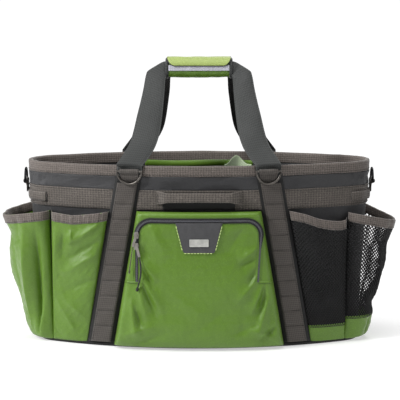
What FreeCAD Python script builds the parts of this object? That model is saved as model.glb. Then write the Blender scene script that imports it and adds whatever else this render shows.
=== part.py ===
"""Open-topped garden tool bag with outside pockets and two webbing handles.

All lengths are in millimetres, +Z is up, the front of the bag faces -Y and +X is its right.
The plan of the bag is an oval of four tangent arcs.  Every wall leans outwards by the same
amount, so each arc of the wall is a true cone about an upright axis.  "Offset" always means the
distance outwards from the outer face of the bag's wall.
"""
import FreeCAD, Part
import math
import os

import Sketcher

from FreeCAD import Placement, Rotation, Vector

SIZES = [
    ("bag_height", 350, "top of the rim binding is just above this"),
    ("end_centre", 252.7, "x of the axes that the two rounded ends turn about"),
    ("side_centre", 437.7, "y of the axes that the long sides turn about"),
    ("end_radius", 57.3, "radius of the rounded ends at the floor"),
    ("side_radius", 562.7, "radius of the long sides at the floor"),
    ("taper", 20, "how far the wall leans out over the whole height"),
    ("skin", 2, "thickness of the outer fabric and of pocket fabric"),
    ("foam", 3, "thickness of the foam board in the wall"),
    ("lining_skin", 1.2, "thickness of the lining"),
    ("layer_gap", 0.2, "air between neighbouring layers"),
    ("webbing", 1.6, "thickness of one layer of webbing"),
    ("belt_low", 267, "lower edge of the belt"),
    ("belt_width", 38, "width of the belt, the strap covers and the ring tabs"),
    ("rim_low", 331, "lower edge of the rim binding"),
    ("rim_top", 351.2, "upper edge of the rim binding"),
    ("base_thick", 3, "thickness of the base panel"),
    ("strap_foot", 189.5, "x of the upright straps' centre line at the floor"),
    ("strap_lean", 0.1725, "how much nearer the middle a strap is, per mm of height"),
    ("strap_width", 49, "width of the handle webbing"),
    ("pocket_top", 264, "upper edge of the open pockets"),
    ("pocket_low", 5, "underside of the pockets"),
    ("side_stand_top", 28, "how far a front or rear pocket stands out at its mouth"),
    ("side_stand_low", 10, "how far it stands out at its foot"),
    ("seam_x", 283, "x of the seam between a side pocket and an end pocket"),
    ("end_top_centre", 296.6, "x of the end pocket's round mouth"),
    ("end_top_radius", 91.4, "radius of that mouth"),
    ("end_low_centre", 272, "x of the end pocket's round foot"),
    ("end_low_radius", 60, "radius of that foot"),
    ("binding_tall", 18, "height of the pockets' edge binding"),
    ("foot_top", 50, "upper edge of the fabric foot under a mesh panel"),
    ("zip_pocket_top", 262, "upper edge of the zipped pocket"),
    ("zip_stand_top", 22, "how far the zipped pocket stands out at its top"),
    ("zip_stand_low", 38, "how far it stands out at its foot"),
    ("zip_half", 117, "x of the zip's two legs"),
    ("zip_corner", 28, "radius of the zip's two corners"),
    ("zip_foot", 133, "z where the zip's legs end"),
    ("zip_line", 250, "z of the zip's level run"),
    ("tape_width", 10, "width of the zip's tape"),
    ("patch_low", 190, "lower edge of the patch on the zipped pocket"),
    ("patch_top", 246.5, "upper edge of the patch"),
    ("patch_half_low", 30, "half width of the patch at its foot"),
    ("patch_half_top", 44, "half width of the patch at its top"),
    ("badge_z", 209, "height of the badge plate's middle"),
    ("hinge_y", 141, "distance of the handle's fold line from the middle"),
    ("hinge_z", 353.5, "height of the handle's fold line"),
    ("handle_tilt", 36, "lean of a handle towards the middle, in degrees"),
    ("handle_thick", 3.2, "two layers of webbing"),
    ("handle_rise", 231.6, "length of a handle from its fold line to its top edge"),
    ("wrap_half", 62, "half length of the grip's wrap"),
    ("wrap_low", 508, "underside of the wrap"),
    ("wrap_top", 545, "top of the wrap"),
    ("wrap_deep", 25, "half depth of the wrap"),
    ("wrap_wall", 2.4, "thickness of the wrap"),
    ("flap_low", 530, "front edge of the flap over the wrap"),
    ("flap_back", 12, "y where the flap is sewn to the wrap"),
    ("divider_half", 105, "half length of the inner divider"),
    ("divider_y", 20, "y of the divider's middle"),
    ("divider_low", 8, "underside of the divider"),
    ("divider_top", 342, "top of the divider's padded panel"),
    ("divider_thick", 8, "thickness of that panel"),
    ("divider_edging", 4, "how far its edging reaches above the panel"),
    ("ring_radius", 23.5, "radius of a ring's bow, to the middle of its wire"),
    ("wire", 2, "radius of the ring's wire"),
    ("ring_z", 341, "height of the front and rear rings' bars"),
    ("ring_offset", 11, "offset of those bars from the wall"),
    ("end_ring_z", 309, "height of the end rings' bars"),
    ("end_ring_offset", 9, "offset of those bars from the wall"),
]

doc = FreeCAD.newDocument("garden_tool_bag")
sheet = doc.addObject("Spreadsheet::Sheet", "Sizes")
nodes = {}


class Size:
    """A number together with the sheet formula that gives it."""

    def __init__(self, value, text=None):
        self.value = float(value)
        self.text = text if text else repr(float(value))

    def __add__(self, other):
        other = as_size(other)
        return Size(self.value + other.value, f"({self.text} + {other.text})")

    def __sub__(self, other):
        other = as_size(other)
        return Size(self.value - other.value, f"({self.text} - {other.text})")

    def __mul__(self, other):
        other = as_size(other)
        return Size(self.value * other.value, f"({self.text} * {other.text})")

    def __radd__(self, other):
        return as_size(other) + self

    def __rsub__(self, other):
        return as_size(other) - self

    def __rmul__(self, other):
        return as_size(other) * self

    def __truediv__(self, other):
        other = as_size(other)
        return Size(self.value / other.value, f"({self.text} / {other.text})")

    def __neg__(self):
        return Size(-self.value, f"(0 - {self.text})")


def as_size(number):
    return number if isinstance(number, Size) else Size(number)


def fill_sheet():
    """Write the driving sizes and return them by name."""
    sizes = {}
    for row, (alias, value, note) in enumerate(SIZES, 1):
        sheet.set(f"A{row}", note)
        sheet.set(f"B{row}", str(value))
        sheet.setAlias(f"B{row}", alias)
        sizes[alias] = Size(value, f"Sizes.{alias}")
    doc.recompute()
    return sizes


S = fill_sheet()


def bind(obj, name, size):
    """Give a property its number and tie it to the sheet."""
    size = as_size(size)
    if not name.startswith("Placement"):
        setattr(obj, name, size.value)
    obj.setExpression(name, size.text)


def place(obj, x=0, y=0, z=0, turn=None):
    """Put an object at a point that follows the sheet."""
    point = [as_size(x), as_size(y), as_size(z)]
    obj.Placement = Placement(Vector(*(p.value for p in point)), turn or Rotation())
    for axis, size in zip("xyz", point):
        if size.text != repr(size.value):
            obj.setExpression(f"Placement.Base.{axis}", size.text)


def node(obj, label):
    """Name a finished sub-part; its label is also its file name."""
    obj.Label = label
    nodes[label] = obj
    return obj


def group(label, *parts):
    """Several separate solids of one kind that share a node."""
    obj = doc.addObject("Part::Compound", label)
    obj.Links = list(parts)
    return node(obj, label)


def combine(kind, name, *parts):
    obj = doc.addObject(f"Part::{kind}", name)
    if kind == "Cut":
        obj.Base, obj.Tool = parts
    else:
        obj.Shapes = list(parts)
    return obj


def cut(name, base, *tools):
    for number, tool in enumerate(tools):
        base = combine("Cut", f"{name}_cut{number}", base, tool)
    return base


def common(name, *parts):
    return combine("MultiCommon", name, *parts)


def fuse(name, *parts):
    return combine("MultiFuse", name, *parts)


# ---------------------------------------------------------------- the leaning oval wall

# sector: (x and y of its axis, first angle, swept angle, radius at the floor)
SECTORS = {
    "right": (S["end_centre"], Size(0), -60, 120, S["end_radius"]),
    "rear": (Size(0), -S["side_centre"], 60, 60, S["side_radius"]),
    "left": (-S["end_centre"], Size(0), 120, 120, S["end_radius"]),
    "front": (Size(0), S["side_centre"], 240, 60, S["side_radius"]),
}
MARGIN = 1.0


def radius_at(sector, z, offset):
    """Radius of the wall's outer face at height z, plus an offset."""
    return SECTORS[sector][4] + S["taper"] * z / S["bag_height"] + offset


def cone(name, sector, low, high, whole=False):
    """A solid cone about a sector's axis; low and high are (z, offset)."""
    x, y, start, sweep, _ = SECTORS[sector]
    obj = doc.addObject("Part::Cone", name)
    bind(obj, "Radius1", radius_at(sector, as_size(low[0]), low[1]))
    bind(obj, "Radius2", radius_at(sector, as_size(high[0]), high[1]))
    bind(obj, "Height", as_size(high[0]) - low[0])
    obj.Angle = 360 if whole else sweep
    place(obj, x, y, low[0], Rotation(Vector(0, 0, 1), start))
    return obj


def shell(name, sector, z_low, z_high, inside, outside):
    """A sector of leaning wall between two offsets."""
    z_low, z_high = as_size(z_low), as_size(z_high)
    solid = cone(f"{name}_solid", sector, (z_low, outside), (z_high, outside))
    core = cone(f"{name}_core", sector, (z_low - MARGIN, inside), (z_high + MARGIN, inside), True)
    return cut(name, solid, core)


def ring(label, z_low, z_high, inside, outside):
    """A band that goes all the way round the bag."""
    parts = [shell(f"{label}_{s}", s, z_low, z_high, inside, outside) for s in SECTORS]
    return fuse(label, *parts)


def slab(name, low, high, z_low, z_high, y_low=-300, y_high=300):
    """An upright block whose left and right sides lean: low and high are its x at each end."""
    obj = doc.addObject("Part::Wedge", name)
    values = {
        "Xmin": low[0], "Xmax": low[1], "X2min": high[0], "X2max": high[1],
        "Ymin": z_low, "Ymax": z_high, "Zmin": -as_size(y_high), "Z2min": -as_size(y_high),
        "Zmax": -as_size(y_low), "Z2max": -as_size(y_low),
    }
    for side, value in values.items():
        bind(obj, side, value)
    obj.Placement = Placement(Vector(), Rotation(Vector(1, 0, 0), 90))
    return obj


def outline(sketch, points):
    """Draw a closed outline.  Each point is (x, y, radius): radius None means that a straight
    line runs to the next point, a positive one an arc that bulges to the right of the way there,
    a negative one an arc that bulges to the left."""
    count = len(points)
    joints = []
    for index in range(count):
        x, y, radius = points[index]
        next_x, next_y, _ = points[(index + 1) % count]
        first = Vector(as_size(x).value, as_size(y).value, 0)
        last = Vector(as_size(next_x).value, as_size(next_y).value, 0)
        if radius is None:
            geometry = sketch.addGeometry(Part.LineSegment(first, last))
            joints.append((geometry, 1, 2))
            continue
        size = abs(as_size(radius).value)
        side = 1 if as_size(radius).value > 0 else -1
        chord = last - first
        right = Vector(chord.y, -chord.x, 0).normalize() * side
        depth = math.sqrt(size ** 2 - (chord.Length / 2) ** 2)
        centre = (first + last) / 2 - right * depth
        ends = [math.atan2(p.y - centre.y, p.x - centre.x) for p in (first, last)]
        if side < 0:
            ends.reverse()
        if ends[1] < ends[0]:
            ends[1] += 2 * math.pi
        arc = Part.ArcOfCircle(Part.Circle(centre, Vector(0, 0, 1), size), *ends)
        geometry = sketch.addGeometry(arc)
        joints.append((geometry, 1, 2) if side > 0 else (geometry, 2, 1))
        number = sketch.addConstraint(Sketcher.Constraint("Radius", geometry, size))
        positive = radius if side > 0 else -as_size(radius)
        sketch.setExpression(f"Constraints[{number}]", as_size(positive).text)
    for index in range(count):
        geometry, start, end = joints[index]
        following, next_start, _ = joints[(index + 1) % count]
        sketch.addConstraint(Sketcher.Constraint("Coincident", geometry, end, following, next_start))
        for kind, value in (("DistanceX", points[index][0]), ("DistanceY", points[index][1])):
            value = as_size(value)
            number = sketch.addConstraint(
                Sketcher.Constraint(kind, -1, 1, geometry, start, value.value))
            sketch.setExpression(f"Constraints[{number}]", value.text)


def plane(body, role):
    return next(f for f in body.Origin.OriginFeatures if f.Role == role)


def pad_body(name, role, points, length, centred=False):
    """A PartDesign body: one outline on an origin plane, padded to a thickness."""
    body = doc.addObject("PartDesign::Body", name)
    sketch = body.newObject("Sketcher::SketchObject", f"{name}_outline")
    sketch.AttachmentSupport = (plane(body, role), [""])
    sketch.MapMode = "FlatFace"
    outline(sketch, points)
    pad = body.newObject("PartDesign::Pad", f"{name}_pad")
    pad.Profile = sketch
    bind(pad, "Length", length)
    pad.Midplane = centred
    body.Tip = pad
    return body


def oval(offset):
    """Outline of the bag's plan at the floor, moved out by an offset."""
    end = S["end_radius"] + offset
    side = S["side_radius"] + offset
    x = S["end_centre"] + end * math.cos(math.radians(60))
    y = end * math.sin(math.radians(60))
    return [(x, -y, end), (x, y, side), (-x, y, end), (-x, -y, side)]


# ---------------------------------------------------------------- shell of the bag

def build_shell():
    """Outer panels, foam, lining, rim and base."""
    gap = S["layer_gap"]
    foam_out = -S["skin"] - gap
    foam_in = foam_out - S["foam"]
    lining_out = foam_in - gap
    wall_low = S["base_thick"] + gap
    for sector, label in (("front", "front_wall"), ("rear", "rear_wall"),
                          ("left", "left_end_wall"), ("right", "right_end_wall")):
        node(shell(label, sector, wall_low, S["rim_top"] - 3, -S["skin"], 0), label)
    hoop_low = S["rim_top"] - 11
    node(ring("stiffener", 8, hoop_low - 1, foam_in, foam_out), "wall_stiffener")
    node(ring("hoop", hoop_low, hoop_low + 7, foam_in + gap, foam_out), "rim_hoop")
    node(ring("lining", 8, S["rim_top"] - 5, lining_out - S["lining_skin"], lining_out), "lining")
    inside = lining_out - S["lining_skin"] - gap
    cover = ring("rim_cover", S["rim_low"], S["rim_top"], inside - 1.2, gap * 2 + 1.2)
    groove = ring("rim_groove", S["rim_low"] - MARGIN, S["rim_top"] - 1.2, inside, gap * 2)
    node(cut("rim", cover, groove), "rim_binding")
    belt_top = S["belt_low"] + S["belt_width"]
    node(ring("upper", belt_top + 1, S["rim_low"] - 1, gap, gap + 1.2), "upper_band")
    node(ring("belt", S["belt_low"], belt_top, gap, gap + 2), "belt_webbing")

    panel = pad_body("base", "XY_Plane", oval(-0.5), S["base_thick"])
    node(panel, "base_panel")
    board = pad_body("board", "XY_Plane", oval(lining_out - S["lining_skin"] - 1), 3)
    place(board, z=S["base_thick"] + gap)
    node(board, "base_board")
    node(ring("piping", S["base_thick"] + gap, 7, gap, 2.6), "base_piping")


# ---------------------------------------------------------------- straps on the walls

STRAP_LOW = 8


def strap_x(z):
    """Distance of a strap's centre line from the middle of the bag."""
    return S["strap_foot"] - S["strap_lean"] * z


def band_x(side, z, half):
    """Left and right x of an upright band of a half width that follows a strap."""
    middle = strap_x(z) * side
    return (middle - half, middle + half)


def wall_strap(label, sector, side, z_low, z_high, inside, outside, half):
    """One length of webbing that runs up the wall beside the pockets."""
    z_low, z_high = as_size(z_low), as_size(z_high)
    sheet_part = shell(f"{label}_shell", sector, z_low, z_high, inside, outside)
    below, above = z_low - MARGIN, z_high + MARGIN
    block = slab(f"{label}_slab", band_x(side, below, half), band_x(side, above, half), below, above)
    return common(label, sheet_part, block)


def build_straps():
    cover_in = 2.6 + S["webbing"] + S["layer_gap"] * 2
    for sector in ("front", "rear"):
        straps = []
        covers = []
        for side, hand in ((-1, "left"), (1, "right")):
            straps.append(wall_strap(f"{sector}_strap_{hand}", sector, side, STRAP_LOW,
                                     S["rim_top"] - 2, 2.6, 2.6 + S["webbing"],
                                     S["strap_width"] / 2))
            covers.append(wall_strap(f"{sector}_cover_{hand}", sector, side, STRAP_LOW,
                                     S["ring_z"] - 22, cover_in, cover_in + S["webbing"],
                                     S["belt_width"] / 2))
        group(f"{sector}_straps", *straps)
        group(f"{sector}_strap_covers", *covers)


# ---------------------------------------------------------------- pockets on the long sides

def side_stand(z):
    """How far a front or rear pocket stands out at height z."""
    grow = S["side_stand_top"] - S["side_stand_low"]
    return S["side_stand_low"] + grow * z / S["pocket_top"]


def zip_stand(z):
    """How far the zipped pocket stands out at height z."""
    grow = S["zip_stand_top"] - S["zip_stand_low"]
    return S["zip_stand_low"] + grow * z / S["zip_pocket_top"]


POCKET_BACK = 3.0


def pocket_solid(name, sector, edges, z_low, z_high, stand, shrink=0):
    """The space between two leaning edges, from the wall's axis to the pocket's outer face.
    edges(z) gives the left and right x at height z."""
    z_low, z_high = as_size(z_low), as_size(z_high)
    y_range = (-300, -40) if sector == "front" else (40, 300)
    low, high = z_low - MARGIN, z_high + MARGIN
    left_low, right_low = edges(low)
    left_high, right_high = edges(high)
    block = slab(f"{name}_slab", (left_low + shrink, right_low - shrink),
                 (left_high + shrink, right_high - shrink), low, high, *y_range)
    face = cone(f"{name}_face", sector, (z_low, stand(z_low) - shrink),
                (z_high, stand(z_high) - shrink), True)
    return common(name, face, block)


def wall_core(name, sector, z_low, z_high, offset=POCKET_BACK):
    low, high = as_size(z_low) - MARGIN, as_size(z_high) + MARGIN
    return cone(name, sector, (low, offset), (high, offset), True)


def tray(label, sector, edges, z_low, z_high, stand, floor=True, lid=False):
    """A pocket that is open towards the wall and, without a lid, at its top."""
    z_low, z_high = as_size(z_low), as_size(z_high)
    solid = pocket_solid(f"{label}_solid", sector, edges, z_low, z_high, stand)
    hollow_low = z_low + S["skin"] if floor else z_low - MARGIN
    hollow_high = z_high - S["skin"] if lid else z_high + MARGIN
    hollow = pocket_solid(f"{label}_hollow", sector, edges, hollow_low, hollow_high, stand,
                          S["skin"])
    core = wall_core(f"{label}_core", sector, z_low, z_high)
    return cut(label, solid, hollow, core)


def pocket_strip(label, sector, edges, z_low, z_high, stand, thick=1.4):
    """A flat strip on a pocket's face, such as the binding along its mouth."""
    z_low, z_high = as_size(z_low), as_size(z_high)
    solid = pocket_solid(f"{label}_solid", sector, edges, z_low, z_high,
                         lambda z: stand(z) + S["layer_gap"] + thick)
    low, high = z_low - MARGIN, z_high + MARGIN
    core = cone(f"{label}_core", sector, (low, stand(low) + S["layer_gap"]),
                (high, stand(high) + S["layer_gap"]), True)
    return cut(label, solid, core)


def side_edges(side):
    """x limits of the pocket between a strap and the end seam; side is -1 for left."""
    clear = S["strap_width"] / 2 + 2

    def edges(z):
        inner, outer = strap_x(z) + clear, S["seam_x"] - 0.5
        return (-outer, -inner) if side < 0 else (inner, outer)
    return edges


def middle_edges(z):
    """x limits of the pocket between the two straps."""
    half = strap_x(z) - S["strap_width"] / 2 - 2
    return (-half, half)


def build_side_pockets():
    """Fabric pockets on the left and mesh pockets with a fabric foot on the right."""
    top, low = S["pocket_top"], S["pocket_low"]
    binding_low = top - S["binding_tall"]
    bindings = {}
    for sector in ("front", "rear"):
        left = side_edges(-1)
        label = f"{sector}_left_pocket"
        node(tray(label, sector, left, low, top, side_stand), label)
        right = side_edges(1)
        mesh = f"{sector}_mesh_pocket"
        node(tray(mesh, sector, right, S["foot_top"] + 0.1, top, side_stand, floor=False), mesh)
        foot = f"{mesh}_foot"
        node(tray(foot, sector, right, low, S["foot_top"], side_stand), foot)
        bindings[sector] = [pocket_strip(f"{name}_strip", sector, edges, binding_low, top, side_stand)
                            for name, edges in ((label, left), (mesh, right))]
    node(bindings["front"][0], "front_left_pocket_binding")
    node(bindings["front"][1], "front_mesh_pocket_binding")
    rear = "rear_slip_pocket"
    node(tray(rear, "rear", middle_edges, low, top, zip_stand), rear)
    slip = pocket_strip(f"{rear}_strip", "rear", middle_edges, binding_low, top, zip_stand, 1.6)
    group("rear_pocket_bindings", *bindings["rear"], slip)


# ---------------------------------------------------------------- pockets round the ends

def end_circle(body, name, z, shrink):
    """The round outline of the left end pocket at height z, as a sketch."""
    share = as_size(z) / S["pocket_top"]
    radius = S["end_low_radius"] + (S["end_top_radius"] - S["end_low_radius"]) * share - shrink
    middle = S["end_low_centre"] + (S["end_top_centre"] - S["end_low_centre"]) * share
    sketch = body.newObject("Sketcher::SketchObject", name)
    sketch.AttachmentSupport = (plane(body, "XY_Plane"), [""])
    sketch.MapMode = "FlatFace"
    sketch.AttachmentOffset = Placement(Vector(0, 0, as_size(z).value), Rotation())
    sketch.setExpression("AttachmentOffset.Base.z", as_size(z).text)
    sketch.addGeometry(Part.Circle(Vector(-middle.value, 0, 0), Vector(0, 0, 1), radius.value))
    wanted = (("Radius", (0,), radius), ("DistanceX", (-1, 1, 0, 3), -middle),
              ("DistanceY", (-1, 1, 0, 3), Size(0)))
    for kind, where, value in wanted:
        number = sketch.addConstraint(Sketcher.Constraint(kind, *where, value.value))
        sketch.setExpression(f"Constraints[{number}]", value.text)
    return sketch


def end_solid(name, z_low, z_high, shrink):
    """The space outside the left end seam, out to the pocket's round face."""
    body = doc.addObject("PartDesign::Body", f"{name}_body")
    foot = end_circle(body, f"{name}_foot", z_low, shrink)
    mouth = end_circle(body, f"{name}_mouth", z_high, shrink)
    loft = body.newObject("PartDesign::AdditiveLoft", f"{name}_loft")
    loft.Profile = foot
    loft.Sections = [mouth]
    loft.Ruled = True
    body.Tip = loft
    limits = (Size(-500), -(S["seam_x"] + 0.5 + shrink))
    block = slab(f"{name}_slab", limits, limits, as_size(z_low) - MARGIN, as_size(z_high) + MARGIN)
    return common(name, body, block)


def end_node(obj, side, label):
    """Both ends have one shape: the right one is the left one turned half way round."""
    if side > 0:
        obj.Placement = Placement(Vector(), Rotation(Vector(0, 0, 1), 180))
    return node(obj, label)


def end_tray(label, side, z_low, z_high, floor=True):
    z_low, z_high = as_size(z_low), as_size(z_high)
    solid = end_solid(f"{label}_solid", z_low, z_high, 0)
    hollow_low = z_low + S["skin"] if floor else z_low - MARGIN
    hollow = end_solid(f"{label}_hollow", hollow_low, z_high + MARGIN, S["skin"])
    core = wall_core(f"{label}_core", "left", z_low, z_high, POCKET_BACK + 0.8)
    return end_node(cut(label, solid, hollow, core), side, label)


def end_strip(label, side, z_low, z_high, thick=1.4):
    gap = S["layer_gap"]
    z_low, z_high = as_size(z_low), as_size(z_high)
    solid = end_solid(f"{label}_solid", z_low, z_high, -gap - thick)
    core = end_solid(f"{label}_core", z_low - MARGIN, z_high + MARGIN, -gap)
    limits = (Size(-500), -(S["seam_x"] + 1.5))
    block = slab(f"{label}_trim", limits, limits, z_low - MARGIN, z_high + MARGIN)
    return end_node(common(label, cut(label, solid, core), block), side, label)


def build_end_pockets():
    top, low = S["pocket_top"], S["pocket_low"]
    binding_low = top - S["binding_tall"]
    end_tray("left_end_pocket", -1, low, top)
    end_strip("left_end_pocket_binding", -1, binding_low, top)
    end_tray("right_end_mesh_pocket", 1, S["foot_top"] + 0.1, top, floor=False)
    end_tray("right_end_mesh_pocket_foot", 1, low, S["foot_top"])
    end_strip("right_end_mesh_pocket_binding", 1, binding_low, top)


# ---------------------------------------------------------------- zipped front pocket

def zip_outline(half, line, corner):
    """An upside-down U: the line that the zip follows, as the outline of a plate."""
    foot = S["zip_foot"]
    return [(-half, foot, None), (half, foot, None), (half, line - corner, corner),
            (half - corner, line, None), (-half + corner, line, corner), (-half, line - corner, None)]


def on_face(label, points, inside, outside):
    """A flat shape laid on the zipped pocket's face between two distances from it."""
    plate = pad_body(f"{label}_plate", "XZ_Plane", points, 300)
    top = S["zip_pocket_top"]
    outer = cone(f"{label}_outer", "front", (0, S["zip_stand_low"] + outside),
                 (top, S["zip_stand_top"] + outside), True)
    inner = cone(f"{label}_inner", "front", (-MARGIN, zip_stand(Size(-MARGIN)) + inside),
                 (top + MARGIN, zip_stand(top + MARGIN) + inside), True)
    return cut(label, common(f"{label}_lay", plate, outer), inner)


def face_turn(x):
    """Angle about +Z that turns a piece square to the pocket's face at x."""
    return math.degrees(math.asin(x / (S["side_radius"].value + S["zip_stand_top"].value + 15)))


def face_point(x, z, out):
    """A point a distance out from the zipped pocket's face."""
    radius = (radius_at("front", as_size(z), 0) + zip_stand(as_size(z)) + out).value
    return Vector(x, S["side_centre"].value - math.sqrt(radius ** 2 - x ** 2), z)


def build_zip_pocket():
    low, top = S["pocket_low"], S["zip_pocket_top"]
    stand_inside = (lambda z: zip_stand(z) - S["skin"] - S["layer_gap"])
    frame = pocket_solid("gusset_solid", "front", middle_edges, low, top, stand_inside)
    y_range = (-300, -40)
    skin = S["skin"]
    low_edges, high_edges = middle_edges(low), middle_edges(top)
    hole = slab("gusset_hole", (low_edges[0] + skin, low_edges[1] - skin),
                (high_edges[0] + skin, high_edges[1] - skin), low + skin, top - skin, *y_range)
    core = wall_core("gusset_core", "front", low, top)
    node(cut("gusset", frame, hole, core), "zip_pocket_gusset")
    face = pocket_solid("face_solid", "front", middle_edges, low, top, zip_stand)
    face_core = cone("face_core", "front", (low - MARGIN, zip_stand(low - MARGIN) - skin),
                     (top + MARGIN, zip_stand(top + MARGIN) - skin), True)
    node(cut("face", face, face_core), "zip_pocket_face")

    width = S["tape_width"] / 2
    half, line, corner = S["zip_half"], S["zip_line"], S["zip_corner"]
    outer = on_face("tape_outer", zip_outline(half + width, line + width, corner + width), 0.2, 1.2)
    inner = pad_body("tape_inner", "XZ_Plane",
                     [(x, z if index > 1 else z - 10, r) for index, (x, z, r) in
                      enumerate(zip_outline(half - width, line - width, corner - width))], 300)
    node(cut("tape", outer, inner), "zipper_tape")

    foot, head = S["patch_low"].value, S["patch_top"].value
    wide, narrow = S["patch_half_top"].value, S["patch_half_low"].value
    corner = 4
    patch_points = [(-narrow + corner, foot, None), (narrow - corner, foot, corner),
                    (narrow, foot + corner, None), (wide, head, None), (-wide, head, None),
                    (-narrow, foot + corner, corner)]
    node(on_face("patch", patch_points, 1.4, 3.0), "patch")
    plate = pad_body("badge", "XZ_Plane", [(-18, -7, None), (18, -7, None), (18, 7, None),
                                           (-18, 7, None)], 1.2)
    pad = plate.Tip
    doc.recompute()
    fillet = plate.newObject("PartDesign::Fillet", "badge_fillet")
    upright = [f"Edge{i}" for i, e in enumerate(pad.Shape.Edges, 1)
               if abs(e.tangentAt(e.FirstParameter).y) > 0.9]
    fillet.Base = (pad, upright)
    fillet.Radius = 1.5
    plate.Tip = fillet
    badge_z = S["badge_z"].value
    place(plate, 0, face_point(0, badge_z, 3.2).y, badge_z)
    node(plate, "badge_plate")


def slider(label, z, pull_label, pull_reach, pull_lean):
    """A zip slider on the left leg and the flat puller that hangs from it, a little to one side."""
    x = -S["zip_half"].value
    turn = Rotation(Vector(0, 0, 1), face_turn(x))
    body = pad_body(label, "XZ_Plane", [(-4, -6, None), (4, -6, None), (5, 2, None), (3, 6.5, None),
                                        (-3, 6.5, None), (-5, 2, None)], 3.4)
    spot = face_point(x, z, 1.6)
    place(body, spot.x, spot.y, z, turn)
    node(body, label)
    puller = pad_body(pull_label, "XZ_Plane", [(-2.4, -pull_reach, None), (2.4, -pull_reach, None),
                                               (2.4, 0.1, None), (-2.4, 0.1, None)], 1.2)
    spot = face_point(x, z, 5.6)
    lean = Rotation(Vector(0, 1, 0), pull_lean)
    place(puller, spot.x, spot.y, z + 2, turn.multiply(lean))
    node(puller, pull_label)


def tube(label, points, radius):
    """A cord's tube: straight runs joined by tangent arcs, each as large as its runs allow."""
    points = [Vector(*p) for p in points]
    edges = []
    start = points[0]
    for before, corner, after in zip(points, points[1:], points[2:]):
        back, ahead = (before - corner), (after - corner)
        shorter = min(back.Length, ahead.Length)
        turn = math.pi - back.getAngle(ahead)
        reach = 0.45 * shorter
        print(f"{label}: bend radius {reach / math.tan(turn / 2):.1f} mm")
        first = corner + back.normalize() * reach
        last = corner + ahead.normalize() * reach
        middle_way = (back + ahead).normalize()
        bend = reach / math.tan(turn / 2)
        middle = corner + middle_way * (bend / math.cos(turn / 2) - bend)
        edges += [Part.LineSegment(start, first).toShape(), Part.Arc(first, middle, last).toShape()]
        start = last
    edges.append(Part.LineSegment(start, points[-1]).toShape())
    path = Part.Wire(edges)
    aim = points[1] - points[0]
    profile = Part.Wire([Part.makeCircle(radius, points[0], aim)])
    shape = path.makePipeShell([profile], True, False)
    wanted = math.pi * radius ** 2 * path.Length
    print(f"{label}: length {path.Length:.1f} mm, volume share {shape.Volume / wanted:.4f}")
    cord = doc.addObject("Part::Feature", label)
    cord.Shape = shape
    return node(cord, label)


PULL_CORD_UPPER = [(-124.4, -156.2, 200.4), (-125.8, -157.6, 188.0), (-127.8, -158.0, 175.0),
                   (-129.8, -157.0, 162.0), (-131.0, -154.8, 150.0)]
PULL_CORD_LOWER = [(-111.6, -158.8, 180.8), (-109.4, -160.6, 168.5), (-108.6, -161.6, 155.0),
                   (-110.2, -161.0, 141.5), (-113.8, -159.6, 129.0), (-116.6, -158.4, 117.0)]


def build_zip_pulls():
    slider("slider_upper", S["zip_line"].value - S["zip_corner"].value, "puller_upper", 24, 18)
    slider("slider_lower", 201, "puller_lower", 22, -14)
    tube("pull_cord_upper", PULL_CORD_UPPER, 1.0)
    tube("pull_cord_lower", PULL_CORD_LOWER, 1.5)


# ---------------------------------------------------------------- rings and their tabs

def ring_set(label, at, turn, standing=False):
    """A D-ring on a bar along its own X, hanging down or standing up.  Returns its webbing tab."""
    bow = doc.addObject("Part::Torus", f"{label}_bow")
    bind(bow, "Radius1", S["ring_radius"])
    bind(bow, "Radius2", S["wire"])
    bow.Angle3 = 180
    bow.Placement = Placement(Vector(), Rotation(Vector(1, 0, 0), 90 if standing else -90))
    bar = doc.addObject("Part::Cylinder", f"{label}_bar")
    bind(bar, "Radius", S["wire"])
    bind(bar, "Height", (S["ring_radius"] + S["wire"]) * 2)
    place(bar, -(S["ring_radius"] + S["wire"]), 0, 0, Rotation(Vector(0, 1, 0), 90))
    made = fuse(f"{label}_made", bow, bar)
    made.Placement = Placement(at, turn)
    node(made, label)

    half = S["belt_width"] / 2 - 1
    sleeve = doc.addObject("Part::Cylinder", f"{label}_sleeve")
    bind(sleeve, "Radius", S["wire"] + 2)
    bind(sleeve, "Height", half * 2)
    place(sleeve, -half, 0, 0, Rotation(Vector(0, 1, 0), 90))
    tail = doc.addObject("Part::Box", f"{label}_tail")
    bind(tail, "Length", half * 2)
    tail.Width = 1.6
    tail.Height = 20
    place(tail, -half, S["wire"] + 0.4, -20)
    both = fuse(f"{label}_tab_solid", sleeve, tail)
    bore = doc.addObject("Part::Cylinder", f"{label}_bore")
    bind(bore, "Radius", S["wire"] + 0.4)
    bind(bore, "Height", half * 2 + 2 * MARGIN)
    place(bore, -half - MARGIN, 0, 0, Rotation(Vector(0, 1, 0), 90))
    tab = combine("Cut", f"{label}_tab_cut", both, bore)
    tab.Placement = Placement(at, turn)
    return tab


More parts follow.
